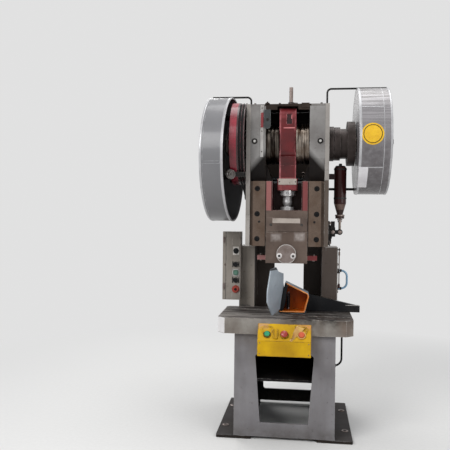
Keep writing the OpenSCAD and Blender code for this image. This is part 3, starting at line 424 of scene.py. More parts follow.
def fitting_finishes(colours):
    """Finishes of the table, the boxes, the switch, the cylinder and the motor."""
    coat("table steel", (146, 142, 136), (112, 106, 100), 0.46, metallic=0.05, scale=9.0,
         wear=(186, 180, 174), grime=0.4, grime_colour=(84, 66, 54),
         streaks=((26, 20, 19), (-480, -500, 848), (480, 110, 852)),
         # Zones: a darker film on the top, painted shadow over the right part, a brown right front corner and
         # a painted highlight on the left front chamfer.
         zones=(((-480, -500, 848), (480, 110, 851), (112, 106, 105), 0.35),
                ((30, -520, 826), (520, 160, 980), (10, 8, 8), 0.98, 0.04),
                ((380, -500, 742), (476, -380, 842), (120, 98, 84), 0.5, 0.04),
                ((-476, -484, 742), (-418, -426, 849), (240, 238, 238), 0.95)), shine=0.05)
    machined("bronze", (190, 150, 92), (142, 106, 60), 0.3, oil=0.3)
    coat("cast iron", (70, 62, 60), (44, 38, 36), 0.42, metallic=0.4, scale=12.0, wear=(120, 112, 108),
         grime=0.5, bump=0.35, grain=140.0, shine=0.15)
    coat("black paint", (38, 37, 37), (20, 20, 20), 0.36, wear=(92, 88, 84), grime=0.3, shine=0.15)
    coat("black rubber", (30, 30, 31), (18, 18, 19), 0.6, grime=0.3, bump=0.25, shine=0.08)
    coat("black plastic", (30, 31, 33), (16, 16, 18), 0.34, grime=0.25, grime_colour=(60, 56, 52), shine=0.15)
    coat("yellow paint", screen(colours.box_yellow), (178, 136, 3), 0.42, scale=7.0, wear=(104, 74, 30),
         wear_width=0.005, grime=0.32, grime_colour=(112, 78, 10), clear=0.12,
         zones=(((-180, -500, 778), (-112, -470, 818), (190, 144, 112), 0.9, 0.012),
                ((96, -500, 782), (180, -470, 818), (190, 128, 88), 0.9, 0.012)), shine=0.2)
    coat("yellow disc", (226, 182, 28), (206, 158, 18), 0.3, scale=26.0, grime=0.4,
         grime_colour=(150, 108, 20), clear=0.4)
    coat("tag white", (222, 220, 222), (206, 203, 206), 0.4, scale=20.0, grime=0.25,
         grime_colour=(160, 152, 150))
    coat("green cap", (30, 150, 104), (18, 118, 82), 0.26, grime=0.2, clear=0.4)
    coat("grey green", (96, 136, 118), (74, 112, 96), 0.34, grime=0.25, clear=0.2)
    coat("red cap", (176, 50, 40), (140, 30, 26), 0.3, grime=0.25, clear=0.4)
    coat("orange cap", (206, 90, 50), (174, 62, 34), 0.3, grime=0.25, clear=0.4)
    coat("blue grey", (172, 182, 190), (150, 160, 169), 0.4, scale=9.0, wear=(214, 220, 224), grime=0.3,
         grime_colour=(84, 92, 100), zones=(((-200, -560, 1180), (60, 100, 1230), (14, 14, 16), 0.95),))
    coat("orange lining", (222, 112, 18), (184, 78, 10), 0.42, scale=9.0, wear=(232, 164, 92), grime=0.45,
         grime_colour=(90, 38, 8), shine=0.15,
         # Zones: painted shade on the lining's left and back, and painted light on its floor strip.
         zones=(((-60, -206, 880), (60, -60, 1090), (58, 22, 5), 0.65, 0.02),
                ((-60, -206, 855), (140, -60, 867), (244, 140, 30), 0.8)))
    coat("orange rim", (232, 158, 92), (206, 118, 52), 0.4, scale=20.0, grime=0.3, grime_colour=(120, 66, 30))
    coat("hose blue", (140, 178, 204), (110, 150, 180), 0.3, grime=0.2, clear=0.5)
    coat("maroon paint", (52, 10, 10), (28, 6, 6), 0.3, wear=(120, 84, 80), grime=0.35, clear=0.15,
         zones=(((300, -500, 1612), (470, -100, 1652), (108, 88, 80), 0.9, 0.003),
                ((300, -500, 1480), (470, -100, 1612), (46, 32, 28), 0.9)), shine=0.15)
    coat("box grey", (152, 145, 136), (124, 116, 107), 0.4, scale=4.0, wear=(190, 184, 176), grime=0.4,
         zones=(((-425, 20, 1256), (-375, 31, 1322), (210, 205, 198), 0.9),))
    coat("motor paint", (52, 58, 62), (34, 38, 42), 0.45, wear=(110, 114, 116), grime=0.5, shine=0.15)


def small_finishes():
    """Finishes of plates, rings, tags and screws."""
    machined("bare plate", (186, 176, 168), (150, 139, 130), 0.34, metallic=0.5, stretch=(20, 1, 1), oil=0.3)
    coat("strip grey", (176, 173, 170), (148, 144, 141), 0.34, scale=14.0, wear=(206, 203, 199), grime=0.4,
         metallic=0.3)
    coat("link grey", (66, 70, 72), (44, 48, 50), 0.4, scale=14.0, wear=(140, 144, 142), grime=0.4, shine=0.2)
    coat("cream ring", (216, 170, 104), (190, 138, 72), 0.4, grime=0.3)
    coat("peeled paint", (206, 168, 84), (176, 122, 60), 0.4, scale=24.0, wear=(226, 206, 160), grime=0.4,
         grime_colour=(96, 58, 30))
    coat("knob grey", (132, 126, 122), (84, 78, 75), 0.36, scale=30.0, wear=(214, 210, 206), wear_width=0.003,
         grime=0.5, metallic=0.3)
    coat("ring white", (224, 220, 218), (196, 190, 188), 0.3, scale=30.0, metallic=0.15, grime=0.3)
    machined("silver steel", (206, 206, 208), (150, 148, 147), 0.3, metallic=0.45, oil=0.3)
    coat("orange red", (186, 74, 56), (150, 48, 36), 0.34, grime=0.35, grime_colour=(70, 24, 20))
    machined("oil brass", (196, 160, 96), (150, 116, 62), 0.3, oil=0.3)


def finished(name):
    """A named finish; all of them are made at the first call."""
    if not FINISHES:
        colours = bpy.context.scene.press_colours
        frame_finishes(colours)
        drive_finishes(colours)
        fitting_finishes(colours)
        small_finishes()
    return FINISHES[name]


def paint(names, finish):
    """Gives CAD nodes a finish."""
    mat = finished(finish)
    for name in names.split():
        obj = NODES[name]
        obj.data.materials.clear()
        obj.data.materials.append(mat)


# Mesh tools

def mm(*values):
    """Millimetres to metres."""
    return tuple(v / 1000 for v in values)


def smooth_faces(mesh, angle):
    """Smooth shading, with edges sharp from an angle in degrees."""
    mesh.shade_smooth()
    mesh.set_sharp_from_angle(angle=math.radians(angle))


def round_edges(obj, width, steps, angle=30):
    """Rounds the edges that are sharper than an angle in degrees; the width is in metres."""
    mod = obj.modifiers.new("edge", "BEVEL")
    mod.width = width
    mod.segments = steps
    mod.limit_method = "ANGLE"
    mod.angle_limit = math.radians(angle)


def disc_shape(u, v):
    """Maps a square grid onto a round disc."""
    return u * math.sqrt(1 - v * v / 2), v * math.sqrt(1 - u * u / 2)


class Parts:
    """Gathers shapes and ends them as pieces; lengths are in millimetres, angles in degrees."""

    def __init__(self):
        self.bm = bmesh.new()

    def piece(self, name, finish, body="frame", smooth=40, bevel=0):
        """Ends the gathered shapes as an object that rides on a CAD body, and starts again."""
        bmesh.ops.recalc_face_normals(self.bm, faces=self.bm.faces)
        mesh = bpy.data.meshes.new(name)
        self.bm.to_mesh(mesh)
        self.bm.clear()
        mesh.materials.append(finished(finish))
        smooth_faces(mesh, smooth)
        obj = bpy.data.objects.new(name, mesh)
        bpy.context.collection.objects.link(obj)
        if bevel:
            round_edges(obj, bevel / 1000, PIECE_ROUND_STEPS)
        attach(obj, body)

    def loop(self, centre, side, other, radius, sides):
        """A ring of points round a centre, in metres."""
        return [self.bm.verts.new(centre + radius * (math.cos(t) * side + math.sin(t) * other))
                for t in [2 * math.pi * k / sides for k in range(sides)]]

    def skin(self, rings):
        """Faces between rings of points; a point that repeats, as at a pole, counts once."""
        for one, two in zip(rings, rings[1:]):
            for k in range(len(one)):
                nxt = (k + 1) % len(one)
                corners = []
                for v in (one[k], one[nxt], two[nxt], two[k]):
                    if v not in corners:
                        corners.append(v)
                if len(corners) > 2:
                    self.bm.faces.new(corners)

    def tube(self, points, radius, sides=12):
        """A round tube through points."""
        points = [Vector(mm(*p)) for p in points]
        rings = []
        side = None
        for i, p in enumerate(points):
            along = (points[min(i + 1, len(points) - 1)] - points[max(i - 1, 0)]).normalized()
            side = along.orthogonal() if side is None else side - along * side.dot(along)
            side = side.normalized()
            rings.append(self.loop(p, side, along.cross(side), radius / 1000, sides))
        self.skin(rings)
        self.bm.faces.new(list(reversed(rings[0])))
        self.bm.faces.new(rings[-1])

    def lathe(self, centre, axis, profile, sides=32):
        """A turned part: rings of (radius, height) along an axis."""
        axis = Vector(axis).normalized()
        side = axis.orthogonal().normalized()
        other = axis.cross(side)
        centre = Vector(mm(*centre))
        rings = []
        for radius, high in profile:
            at = centre + axis * high / 1000
            if radius <= 0:
                rings.append([self.bm.verts.new(at)] * sides)
            else:
                rings.append(self.loop(at, side, other, radius / 1000, sides))
        self.skin(rings)

    def ring(self, centre, axis, inner, outer, thick, sides=40, soft=1.0):
        """A flat ring with softened edges."""
        self.lathe(centre, axis, ((inner, 0), (outer, 0), (outer, thick - soft), (outer - soft, thick),
                                  (inner + soft, thick), (inner, thick - soft), (inner, 0)), sides)

    def bolt(self, centre, axis, r, high, washer=True):
        """A hexagon head on its washer, with the end of the thread."""
        low = 0.0
        if washer:
            low = 0.25 * r
            disc = ((0, 0), (1.45 * r, 0), (1.45 * r, low * 0.8), (1.38 * r, low), (0, low))
            self.lathe(centre, axis, disc, 24)
        head = ((0, low - 0.01), (r, low), (r, low + high * 0.82), (0.86 * r, low + high))
        thread = ((0.5 * r, low + high), (0.5 * r, low + 1.12 * high), (0, low + 1.14 * high))
        self.lathe(centre, axis, head + thread, 6)

    def socket_screw(self, centre, axis, r, high):
        """A round head with a hexagon socket."""
        head = ((0, 0), (r, 0), (r, high - 0.15 * r), (0.85 * r, high), (0.52 * r, high))
        socket = ((0.6 * r, high), (0.48 * r, high - 0.1), (0.46 * r, high * 0.4), (0, high * 0.38))
        self.lathe(centre, axis, head, 24)
        self.lathe(centre, axis, socket, 6)

    def block(self, x0, x1, y0, y1, z0, z1):
        """A box."""
        low, high = mm(x0, y0, z0), mm(x1, y1, z1)
        mid = [(a + b) / 2 for a, b in zip(low, high)]
        size = [b - a for a, b in zip(low, high)]
        place = Matrix.Translation(mid) @ Matrix.Diagonal((*size, 1))
        bmesh.ops.create_cube(self.bm, size=1, matrix=place)

    def arc(self, centre, axis, radius, start, end, thick, sides=8, steps=40):
        """A round wire bent along an arc about an axis."""
        axis = Vector(axis).normalized()
        side = Vector(UP) if abs(axis.z) < 0.9 else Vector(RIGHT)
        other = axis.cross(side)
        points = []
        for k in range(steps + 1):
            t = math.radians(start + (end - start) * k / steps)
            points.append(Vector(centre) + radius * (math.cos(t) * side + math.sin(t) * other))
        self.tube(points, thick, sides)

    def drum_patch(self, x0, x1, radius, centre, angle0, angle1, thick, shape=None):
        """A thin sheet on a drum about an x axis; angles go up from straight ahead (-y)."""
        def place(x, angle, r):
            t = math.radians(angle)
            return Vector(mm(x, centre[1] - r * math.cos(t), centre[2] + r * math.sin(t)))
        across = max(2, int((x1 - x0) / PATCH_WIDTH))
        grid = {}
        for i in range(across + 1):
            for j in range(PATCH_STEPS + 1):
                u, v = 2.0 * i / across - 1, 2.0 * j / PATCH_STEPS - 1
                if shape:
                    u, v = shape(u, v)
                x = (x0 + x1) / 2 + u * (x1 - x0) / 2
                angle = (angle0 + angle1) / 2 + v * (angle1 - angle0) / 2
                top, low = place(x, angle, radius + thick), place(x, angle, radius)
                grid[i, j] = (self.bm.verts.new(top), self.bm.verts.new(low))
        for i in range(across):
            for j in range(PATCH_STEPS):
                corners = (grid[i, j], grid[i + 1, j], grid[i + 1, j + 1], grid[i, j + 1])
                self.bm.faces.new([c[0] for c in corners])
                self.bm.faces.new([c[1] for c in reversed(corners)])
        for i in range(across):
            for j in (0, PATCH_STEPS):
                self.wall(grid[i, j], grid[i + 1, j])
        for j in range(PATCH_STEPS):
            for i in (0, across):
                self.wall(grid[i, j], grid[i, j + 1])

    def wall(self, a, b):
        """A face between two pairs of points."""
        self.bm.faces.new((a[0], b[0], b[1], a[1]))

    def prism(self, outline, offset):
        """A flat outline of points pushed along an offset."""
        low = [self.bm.verts.new(Vector(mm(*p))) for p in outline]
        high = [self.bm.verts.new(Vector(mm(*p)) + Vector(mm(*offset))) for p in outline]
        n = len(low)
        self.bm.faces.new(low)
        self.bm.faces.new(list(reversed(high)))
        for i in range(n):
            self.bm.faces.new((low[i], high[i], high[(i + 1) % n], low[(i + 1) % n]))


class PressSizes(bpy.types.PropertyGroup):
    """Sizes that a user would change"""
    bolt_head: FloatProperty(name="Bolt head", description="Radius of the frame bolts' heads", default=0.012,
                             unit="LENGTH", subtype="DISTANCE")
    edge_round: FloatProperty(name="Edge round", description="Rounding of the plates' edges", default=0.002,
                              unit="LENGTH", subtype="DISTANCE")
    guard_screws: IntProperty(name="Guard screws", description="Screws round each guard", default=8, min=3,
                              max=24)


class PressColours(bpy.types.PropertyGroup):
    """Paint colours that a user would change"""
    frame_light: FloatVectorProperty(name="Frame, light", description="Light tone of the frame's paint",
                                     subtype="COLOR", default=(0.62, 0.60, 0.58), min=0, max=1)
    frame_dark: FloatVectorProperty(name="Frame, dark", description="Dark tone of the frame's paint",
                                    subtype="COLOR", default=(0.50, 0.48, 0.46), min=0, max=1)
    rod_red: FloatVectorProperty(name="Rod red", description="Paint of the connecting rod", subtype="COLOR",
                                 default=(0.37, 0.065, 0.085), min=0, max=1)
    box_yellow: FloatVectorProperty(name="Box yellow", description="Paint of the two-hand box",
                                    subtype="COLOR", default=(0.82, 0.65, 0.01), min=0, max=1)


class PressOperator:
    """What the operators share"""
    bl_options = {"REGISTER", "UNDO"}


def make_floor():
    """A pale round floor that turns into the backdrop away from the press."""
    bm = bmesh.new()
    bmesh.ops.create_circle(bm, cap_ends=True, segments=96, radius=FLOOR_RADIUS)
    mesh = bpy.data.meshes.new("floor")
    bm.to_mesh(mesh)
    bm.free()
    floor = bpy.data.objects.new("floor", mesh)
    bpy.context.scene.collection.objects.link(floor)
    s = Shader("floor")
    tone = s.mix(s.ramp(s.noise(40.0, 5), 0.3, 0.7), linear((219, 218, 216)), linear((223, 222, 220)))
    s.put(s.bsdf.inputs["Base Color"], tone)
    s.bsdf.inputs["Roughness"].default_value = 0.95
    s.bsdf.inputs["Specular IOR Level"].default_value = 0.1
    far = s.ramp(s.vector("LENGTH", s.coord).outputs["Value"], *FLOOR_FADE)
    far = s.math("MULTIPLY", far, seen_rays(s.tree))
    shown = s.add("ShaderNodeEmission", Color=BACKDROP, Strength=BACKDROP_STRENGTH)
    blend = s.add("ShaderNodeMixShader")
    s.put(blend.inputs[0], far)
    s.put(blend.inputs[1], s.bsdf.outputs[0])
    s.put(blend.inputs[2], shown.outputs[0])
    s.put(s.tree.nodes["Material Output"].inputs["Surface"], blend.outputs[0])
    mesh.materials.append(s.mat)
    return floor


def make_world():
    """Ambient light on the press, and the pale backdrop where a ray shows it."""
    world = bpy.data.worlds.new("studio")
    world.use_nodes = True
    tree = world.node_tree
    tree.nodes.clear()
    out = tree.nodes.new("ShaderNodeOutputWorld")
    pick = tree.nodes.new("ShaderNodeMixShader")
    tree.links.new(seen_rays(tree), pick.inputs[0])
    for socket, colour, strength in ((1, SKY, SKY_STRENGTH), (2, BACKDROP, BACKDROP_STRENGTH)):
        light = tree.nodes.new("ShaderNodeBackground")
        light.inputs[0].default_value = colour
        light.inputs[1].default_value = strength
        tree.links.new(light.outputs[0], pick.inputs[socket])
    tree.links.new(pick.outputs[0], out.inputs[0])
    return world


def make_lamp(name, place, target, size, power):
    """A square lamp that faces its target."""
    lamp = bpy.data.lights.new(name, "AREA")
    lamp.size = size
    lamp.energy = power
    obj = bpy.data.objects.new(name, lamp)
    obj.location = place
    obj.rotation_euler = (Vector(target) - Vector(place)).to_track_quat("-Z", "Y").to_euler()
    bpy.context.scene.collection.objects.link(obj)


def make_camera():
    """The camera that stands where the photograph's stood."""
    camera = bpy.data.cameras.new("camera")
    camera.sensor_width = SENSOR
    camera.lens = FOCAL_PX / PICTURE_PX * SENSOR
    camera.clip_end = 100
    yaw, pitch, roll = (math.radians(a) for a in (CAMERA_YAW, CAMERA_PITCH, CAMERA_ROLL))
    right = Vector((math.cos(yaw), math.sin(yaw), 0))
    level = Vector((-math.sin(yaw), math.cos(yaw), 0))
    ahead = math.cos(pitch) * level + math.sin(pitch) * Vector(UP)
    up = math.cos(pitch) * Vector(UP) - math.sin(pitch) * level
    side = math.cos(roll) * right + math.sin(roll) * up
    top = math.cos(roll) * up - math.sin(roll) * right
    turn = Matrix((side, top, -ahead)).transposed().to_4x4()
    turn.translation = CAMERA_AT
    obj = bpy.data.objects.new("camera", camera)
    obj.matrix_world = turn
    bpy.context.scene.collection.objects.link(obj)
    return obj


class PRESS_OT_stage(PressOperator, bpy.types.Operator):
    """Floor, lamps, world and camera"""
    bl_idname = "press.stage"
    bl_label = "Stage, light and camera"

    def execute(self, context):
        floor = make_floor()
        context.scene.world = make_world()
        for lamp in LAMPS:
            make_lamp(*lamp)
        context.scene.camera = make_camera()
        context.scene.view_settings.view_transform = "Standard"
        return {"FINISHED"}


class PRESS_OT_finishes(PressOperator, bpy.types.Operator):
    """Paint, steel, bronze, rubber and plastic on the press's own solids"""
    bl_idname = "press.finishes"
    bl_label = "Finishes of the solids"

    def execute(self, context):
        paint("base_stand", "stand grey")
        paint("side_plate_left side_plate_right", "frame grey")
        paint("bearing_block_left bearing_block_right", "head grey")
        paint("back_plate", "frame grey")
        paint("top_cover", "head dark")
        paint("table", "table steel")
        paint("main_bush_left main_bush_right rod_bush", "bronze")
        paint("guide_block_left guide_block_right gib_left gib_right", "guide steel")
        paint("gib_screws lever_bracket trip_lever brake_anchor brake_band", "black paint")
        paint("stay_left stay_right left_guard_studs", "black paint")
        paint("crankshaft trip_rod", "polished steel")
        paint("ball_screw lock_nut ball_ring", "silver steel")
        paint("clamp_bolts", "ring white")
        paint("clamp_cap top_rod", "worn steel")
        paint("connecting_rod", "rod red")
        paint("slide", "slide red")
        paint("flywheel", "wheel red")
        paint("bearing_cover trip_disc brake_drum motor_pulley", "cast iron")
        paint("drive_belts side_cable", "black rubber")
        paint("motor", "motor paint")
        paint("left_guard", "guard grey")
        paint("right_guard right_guard_cap", "guard pale")
        paint("trip_cylinder", "maroon paint")
        paint("air_hose", "hose blue")
        paint("control_box", "box grey")
        paint("selector_knob button_black_upper button_black_lower", "black plastic")
        paint("foot_switch_arm foot_pedal", "black plastic")
        paint("hand_button_left", "green cap")
        paint("button_green", "grey green")
        paint("button_red", "orange red")
        paint("stop_button", "red cap")
        paint("hand_button_right", "orange cap")
        paint("hand_box", "yellow paint")
        paint("foot_switch", "blue grey")
        width = context.scene.press_sizes.edge_round
        for obj in NODES.values():
            smooth_faces(obj.data, 30)
            round_edges(obj, width, SOLID_ROUND_STEPS, 40)
        return {"FINISHED"}


class PRESS_OT_head_fittings(PressOperator, bpy.types.Operator):
    """Bolts, strips, the link plate, lips, oil cups and the back sheet of the open head"""
    bl_idname = "press.head_fittings"
    bl_label = "Head fittings"

    def execute(self, context):
        parts = Parts()
        r = context.scene.press_sizes.bolt_head * 1000
        block_bolts = [(x, BLOCK_FACE, 2095) for x in (-234, 231)]
        for at in block_bolts:
            parts.ring(at, FRONT, r * 0.9, r * 1.75, 3)
        parts.piece("block_bolt_washers", "black paint")
        for at in block_bolts:
            parts.bolt(at, FRONT, r * 0.95, 10, False)
        parts.piece("block_bolts", "bright steel")
        parts.block(-263, 263, -30.2, -26.5, 2085, 2345)
        for z in (2150, 2215, 2280):
            parts.block(-250, 250, -27, -22, z, z + 12)
        parts.piece("head_back_sheet", "head dark", bevel=1)
        for side in (-1, 1):
            for z in (1397, 1576, 1757):
                parts.ring((side * GIB_X, GIB_FACE, z), FRONT, 12.4, 19, 2.4)
                parts.lathe((side * GIB_X, GIB_FACE, z), FRONT,
                            ((0, 0), (12.4, 0), (12.4, 5), (10.6, 7), (6, 7), (6, 3.6), (0, 3.4)), 6)
            parts.ring((side * 196, GIB_FACE, 1520), FRONT, 4, 8, 1.6)
        parts.piece("gib_bolts", "black rubber")
        parts.block(-194, -172, -335, -329.5, 1982, 2350)
        parts.piece("edge_strip", "strip grey", bevel=1.5)
        for z in (2020, 2165, 2330):
            parts.socket_screw((-183, -334.5, z), FRONT, 4.5, 3.5)
        parts.piece("edge_strip_screws", "black paint")
        parts.block(-192, -173, -336.2, -334.6, 2192, 2298)
        parts.piece("red_tag", "label red", bevel=0.6)
        link_y, link_r = -342, 24
        turns = [math.radians(a) for a in range(180, 361, 15)]
        low = [(-145 + link_r * math.cos(t), link_y, 2206 + link_r * math.sin(t)) for t in turns]
        parts.prism([(-169, link_y, 2318)] + low + [(-121, link_y, 2318)], (0, 8, 0))
        parts.block(-169, -155, -336, -329.5, 2296, 2318)
        parts.piece("link_plate", "link grey", bevel=1.5)
        parts.lathe((-143, link_y, 2248), FRONT,
                    ((0, 0.3), (10, 0.3), (10, 0), (13, 0), (13, 1.6), (11, 2.2), (10, 1.6)), 28)
        parts.piece("link_plate_eye", "black paint")
        for x0, x1 in ((-155, -74), (74, 155)):
            parts.block(x0, x1, -326, -312, 2318, 2346)
        parts.block(96, 152, -332, -300, 2330, 2366)
        parts.lathe((-146, -318, 2358), UP,
                    ((0, 0), (17, 0), (17, 8), (13, 11), (6, 12), (6, 20), (0, 20)), 24)
        parts.piece("top_lips", "head dark", bevel=2)
        for x in (-236, -60, 60, 236):
            for y in (-300, -60):
                parts.bolt((x, y, 2360), UP, r * 0.75, 8)
        parts.piece("cover_bolts", "cast iron")
        parts.ring((18, RAM_Y, 2381.5), UP, 14.2, 22, 14, 28)
        parts.block(36, 52, -186, -174, 2383, 2394)
        parts.piece("top_rod_collar", "cast iron", bevel=1)
        for x in (-234, 234):
            parts.lathe((x, RAM_Y, 2345), UP,
                        ((0, 0), (9, 0), (9, 8), (6, 10), (6, 14), (10, 16), (10, 26), (6, 30), (0, 31)), 20)
        parts.piece("oil_cups", "oil brass")
        return {"FINISHED"}


class PRESS_OT_rod_fittings(PressOperator, bpy.types.Operator):
    """Plates, ledge and nut details of the connecting rod and the crank's end"""
    bl_idname = "press.rod_fittings"
    bl_label = "Rod and crank fittings"

    def execute(self, context):
        parts = Parts()
        parts.block(-66, 66, -250.4, -245.6, 1789, 1833)
        parts.piece("rod_plate", "bare plate", "rod", bevel=1.2)
        for x in (-58, 58):
            parts.socket_screw((x, -250.2, 1811), FRONT, 4.5, 3)
        parts.piece("rod_plate_screws", "black paint", "rod")
        parts.block(-38, 66, -248.4, -245.6, 1754, 1786)
        parts.piece("rod_band", "label red", "rod", bevel=1)
        parts.block(-30, 50, -306, -302.5, 2188, 2197)
        parts.block(24, 31, -304.5, -302.5, 2256, 2286)
        parts.piece("pocket_ledge", "ledge pink", "rod", bevel=1.5)
        nut_r = 58.2
        for a in range(4):
            t = math.radians(90 * a)
            out = (math.sin(t), -math.cos(t), 0)
            parts.lathe((nut_r * out[0], RAM_Y + nut_r * out[1], 1729), out,
                        ((0, -1.2), (5.5, -1.2), (5.5, 0.2), (8.5, 0.4), (8.5, -0.6)), 24)
        parts.piece("nut_holes", "black paint", "rod")
        for z in (1745, 1710):
            parts.ring((0, RAM_Y, z), UP, 57.7, 59.5, 3, 48, 0.5)
        parts.piece("nut_edges", "bright steel", "rod")
        for y in (-264, -96):
            for x in (-44, 44):
                parts.socket_screw((x, y, 2340.6), UP, 9, 7)
        parts.piece("rod_top_screws", "black paint", "rod")
        parts.lathe((-454, RAM_Y, CRANK_Z), LEFT, ((0, -2), (50, -2), (50, 3), (46, 5), (0, 5)), 32)
        parts.lathe((-437, RAM_Y, CRANK_Z), LEFT, ((61, 0), (84, 0), (84, 13), (76, 17), (61, 17)), 6)
        parts.piece("crank_end_nut", "worn steel", "crank")
        return {"FINISHED"}


class PRESS_OT_slide_fittings(PressOperator, bpy.types.Operator):
    """Face plate, bare label, rims and screws of the slide"""
    bl_idname = "press.slide_fittings"
    bl_label = "Slide fittings"

    def execute(self, context):
        parts = Parts()
        parts.block(-146, 146, -317.5, -313.5, 1453, 1551)
        parts.piece("slide_plate", "slide plate", "ram", bevel=1.2)
        parts.block(-101, 96, -320, -317.2, 1511, 1545)
        parts.piece("slide_label", "bare plate", "ram", bevel=0.8)
        for x in (-112, 106):
            parts.socket_screw((x, -317.3, 1500), FRONT, 9, 5)
        parts.piece("slide_plate_screws", "black paint", "ram")
        rim_z, rim_r, drop = 1291, 67, 64
        start = math.degrees(math.acos(-drop / rim_r))
        parts.arc((0, CLAMP_FACE, rim_z), FRONT, rim_r, -start, start, 2)
        half = rim_r * math.sin(math.radians(start))
        parts.tube([(x, CLAMP_FACE, rim_z - drop) for x in (-half, 0, half)], 2, 8)
        parts.piece("clamp_rim", "strip grey", "ram")
        clamp_xs = (-CLAMP_SCREW_X, CLAMP_SCREW_X)
        for x in clamp_xs:
            parts.ring((x, -335.5, CLAMP_SCREW_Z), FRONT, 12.5, 20, 5)
            parts.ring((x, -349.5, CLAMP_SCREW_Z), FRONT, 9, 13.4, 2, 32, 0.6)
        parts.piece("clamp_washers", "ring white", "ram")
        for x in clamp_xs:
            parts.lathe((x, -342, CLAMP_SCREW_Z), FRONT,
                        ((0, 0), (8.8, 0), (8.8, 8.4), (4, 8.6), (4, 6), (0, 6)), 24)
        parts.piece("clamp_sockets", "black paint", "ram")
        for x in (-195, 195):
            parts.bolt((x, -110, 1271), UP, 9, 7)
            parts.bolt((x, -110, 1237), DOWN, 9, 7)
        parts.piece("lug_bolts", "worn steel", "ram")
        for x in (-128, 128):
            for y in (-296, -70):
                parts.socket_screw((x, y, 1810.6), UP, 8, 6)
        parts.piece("slide_top_screws", "black paint", "ram")
        return {"FINISHED"}


